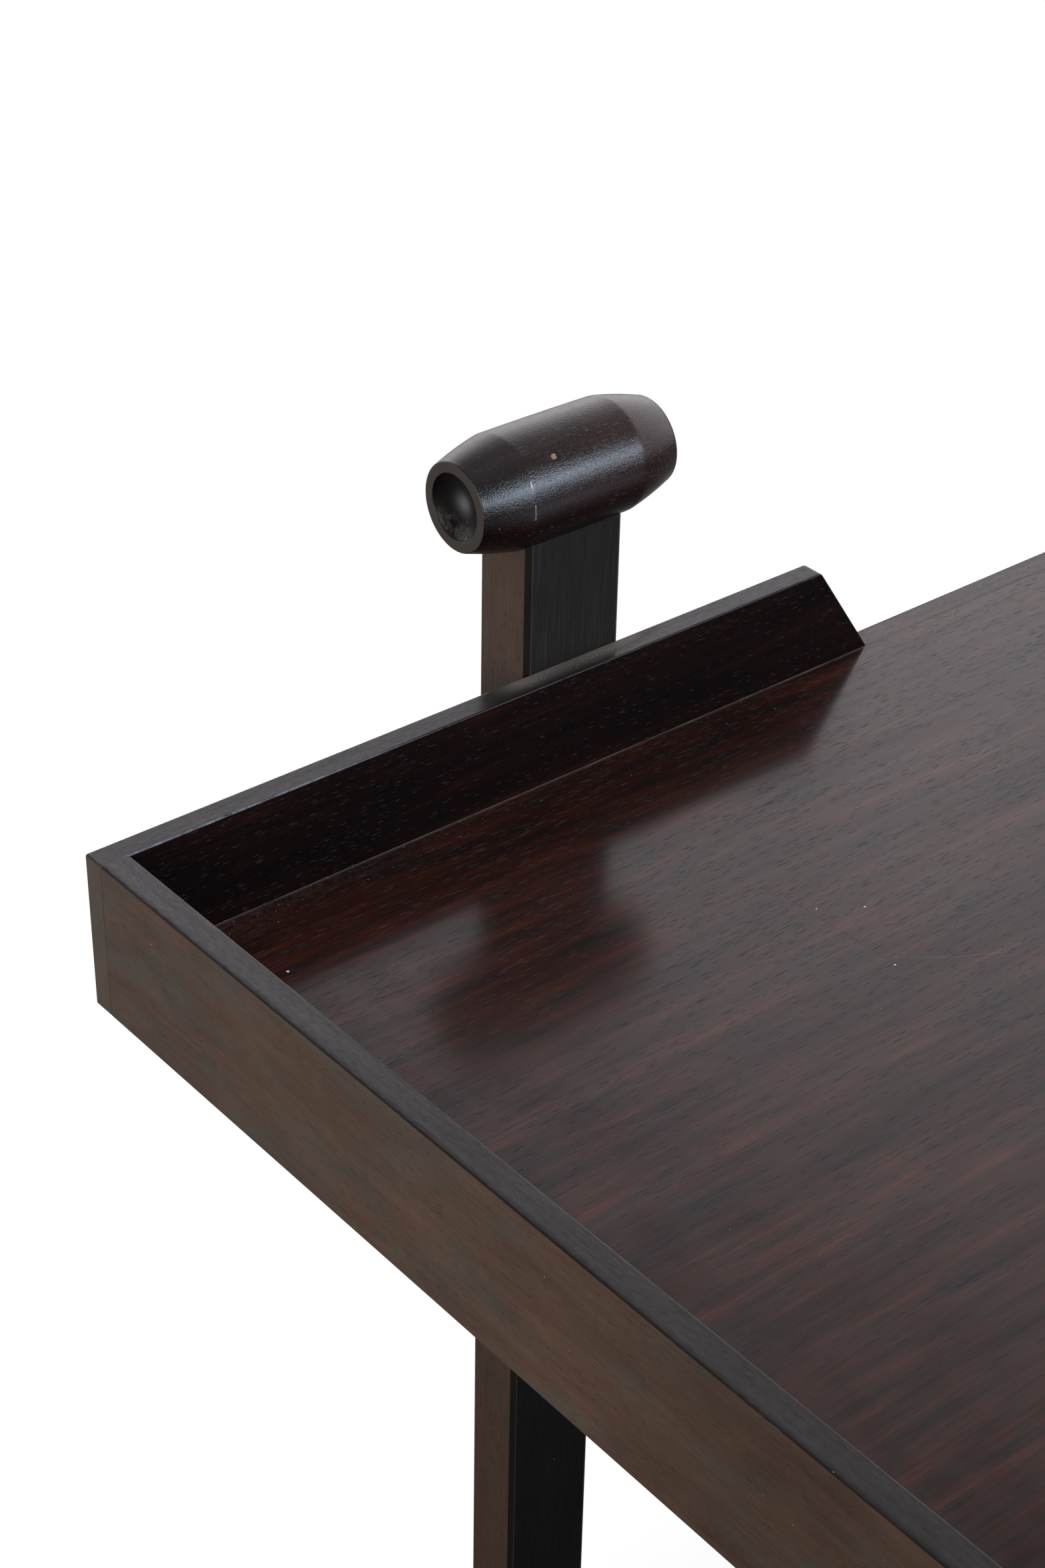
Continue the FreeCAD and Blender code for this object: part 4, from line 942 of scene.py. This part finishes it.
# studio: a floor that is white to the camera, with a painted soft shadow where things stand on it, and to
# reflections and bounced light a paper that is darker near its middle, which is painted shade. A pale room
# with a bright screen behind and a ceiling, and soft panels. The glint panel only shines, the one above only
# lights
studio = {
    "floorHalf": 9.0, "floorToneAndShade": (0.08, 0.65), "floorReach": (0.7, 1.7), "shadow": 0.4,
    "shadowReach": 0.16, "shadowSamples": 12, "room": 0.24, "screen": 1.33, "screenWay": (0.64, 0.77, 0.0),
    "screenTop": (0.5, 0.8), "screenEdge": (0.0, 0.6), "ceiling": 0.27, "ceilingEdge": (0.78, 0.9),
    "surround": (1.02, 0.99, 1.035, 1.0), "aim": (-0.2, 0.1, 0.7),
    "left": {"at": (-2.7, -1.0, 1.5), "size": (1.9, 1.9), "power": 48.0, "tint": (1.0, 0.97, 0.93)},
    "right": {"at": (0.62, -2.06, 1.66), "size": (2.5, 0.75), "power": 36.0, "tint": (0.74, 0.86, 1.0)},
    "glint": {"at": (0.5, -2.1, 1.6), "size": (2.1, 0.45), "power": 25.0, "tint": (0.66, 0.82, 1.0)},
    "above": {"at": (0.3, 0.1, 3.2), "size": (1.9, 1.9), "power": 30.0, "tint": (1.0, 1.0, 1.0)},
}


def makeFloor():
    half = studio["floorHalf"]
    mesh = bpy.data.meshes.new("studioFloor")
    corners = [(-half, -half, 0), (half, -half, 0), (half, half, 0), (-half, half, 0)]
    mesh.from_pydata(corners, [], [(0, 1, 2, 3)])
    floor = bpy.data.objects.new("studioFloor", mesh)
    scene.collection.objects.link(floor)
    material, tree = newMaterial("studioPaper")
    distance = measure(tree, "LENGTH", put(tree, "TexCoord").outputs["Object"])
    # painted shade: to reflections and bounced light the paper is darker near the middle, where the trolley
    # stands
    tone = spread(tree, fade(tree, distance, *studio["floorReach"]), 0.0, 1.0, *studio["floorToneAndShade"])
    paper = put(tree, "BsdfDiffuse", {"Color": joined(tree, tone, tone, tone)})
    reach = {"Distance": studio["shadowReach"]}
    # painted shadow: the white that the camera sees dims where things stand close above the floor
    bare = put(tree, "AmbientOcclusion", reach, samples=studio["shadowSamples"]).outputs["AO"]
    strength = spread(tree, bare, 0.0, 1.0, studio["shadow"], 1.0)
    white = put(tree, "Emission", {"Color": (1, 1, 1, 1), "Strength": strength})
    seen = put(tree, "LightPath").outputs["Is Camera Ray"]
    mixed = put(tree, "MixShader", {0: seen, 1: paper.outputs[0], 2: white.outputs[0]})
    put(tree, "OutputMaterial", {"Surface": mixed.outputs[0]})
    mesh.materials.append(material)


def makeSurround():
    world = bpy.data.worlds.new("studioSurround")
    scene.world = world
    world.use_nodes = True
    tree = world.node_tree
    tree.nodes.clear()
    look = put(tree, "TexCoord").outputs["Generated"]
    up = parted(tree, look)[2]
    ahead = measure(tree, "DOT_PRODUCT", look, studio["screenWay"])
    below = without(tree, fade(tree, up, *studio["screenTop"]))
    screen = times(tree, below, fade(tree, ahead, *studio["screenEdge"]))
    room = plus(tree, studio["room"], times(tree, screen, studio["screen"]))
    ceiling = fade(tree, up, *studio["ceilingEdge"])
    room = plus(tree, room, times(tree, ceiling, studio["ceiling"]))
    seen = put(tree, "LightPath").outputs
    white = larger(tree, seen["Is Camera Ray"], seen["Is Transmission Ray"])
    level = blend(tree, white, room, 1.0)
    tint = lay(tree, white, studio["surround"], (1, 1, 1, 1))
    background = put(tree, "Background", {"Color": tint, "Strength": level})
    put(tree, "OutputWorld", {"Surface": background.outputs[0]})


def makePanel(name, panel, aim):
    lamp = bpy.data.lights.new(name, "AREA")
    lamp.shape = "RECTANGLE"
    lamp.size, lamp.size_y = panel["size"]
    lamp.energy = panel["power"]
    lamp.color = panel["tint"]
    thing = bpy.data.objects.new(name, lamp)
    scene.collection.objects.link(thing)
    thing.location = panel["at"]
    thing.rotation_euler = (Vector(aim) - Vector(panel["at"])).to_track_quat("-Z", "Y").to_euler()
    return thing


makeFloor()
makeSurround()
for name in ("left", "right", "glint", "above"):
    panel = makePanel(name + "Panel", studio[name], studio["aim"])
    panel.visible_glossy = name != "above"
    panel.visible_diffuse = name != "glint"

# the photograph's camera: its place, its axes and its lens
viewer = {
    "at": (-0.87434127, -0.51159217, 1.31326077), "lens": 66.904, "sensor": 36.0, "clipEnd": 60.0,
    "right": (0.77525514, -0.63146357, 0.01527177), "up": (0.33148517, 0.42731102, 0.84114379),
    "ahead": (0.53767745, 0.64703868, -0.54059587),
}
camera = bpy.data.objects.new("viewer", bpy.data.cameras.new("viewer"))
scene.collection.objects.link(camera)
camera.data.lens = viewer["lens"]
camera.data.sensor_width = viewer["sensor"]
camera.data.sensor_fit = "AUTO"
camera.data.clip_end = viewer["clipEnd"]
axes = Matrix((viewer["right"], viewer["up"], [-a for a in viewer["ahead"]])).transposed().to_4x4()
camera.matrix_world = Matrix.Translation(viewer["at"]) @ axes
scene.camera = camera
scene.view_settings.view_transform = "Standard"
print("studio ready")
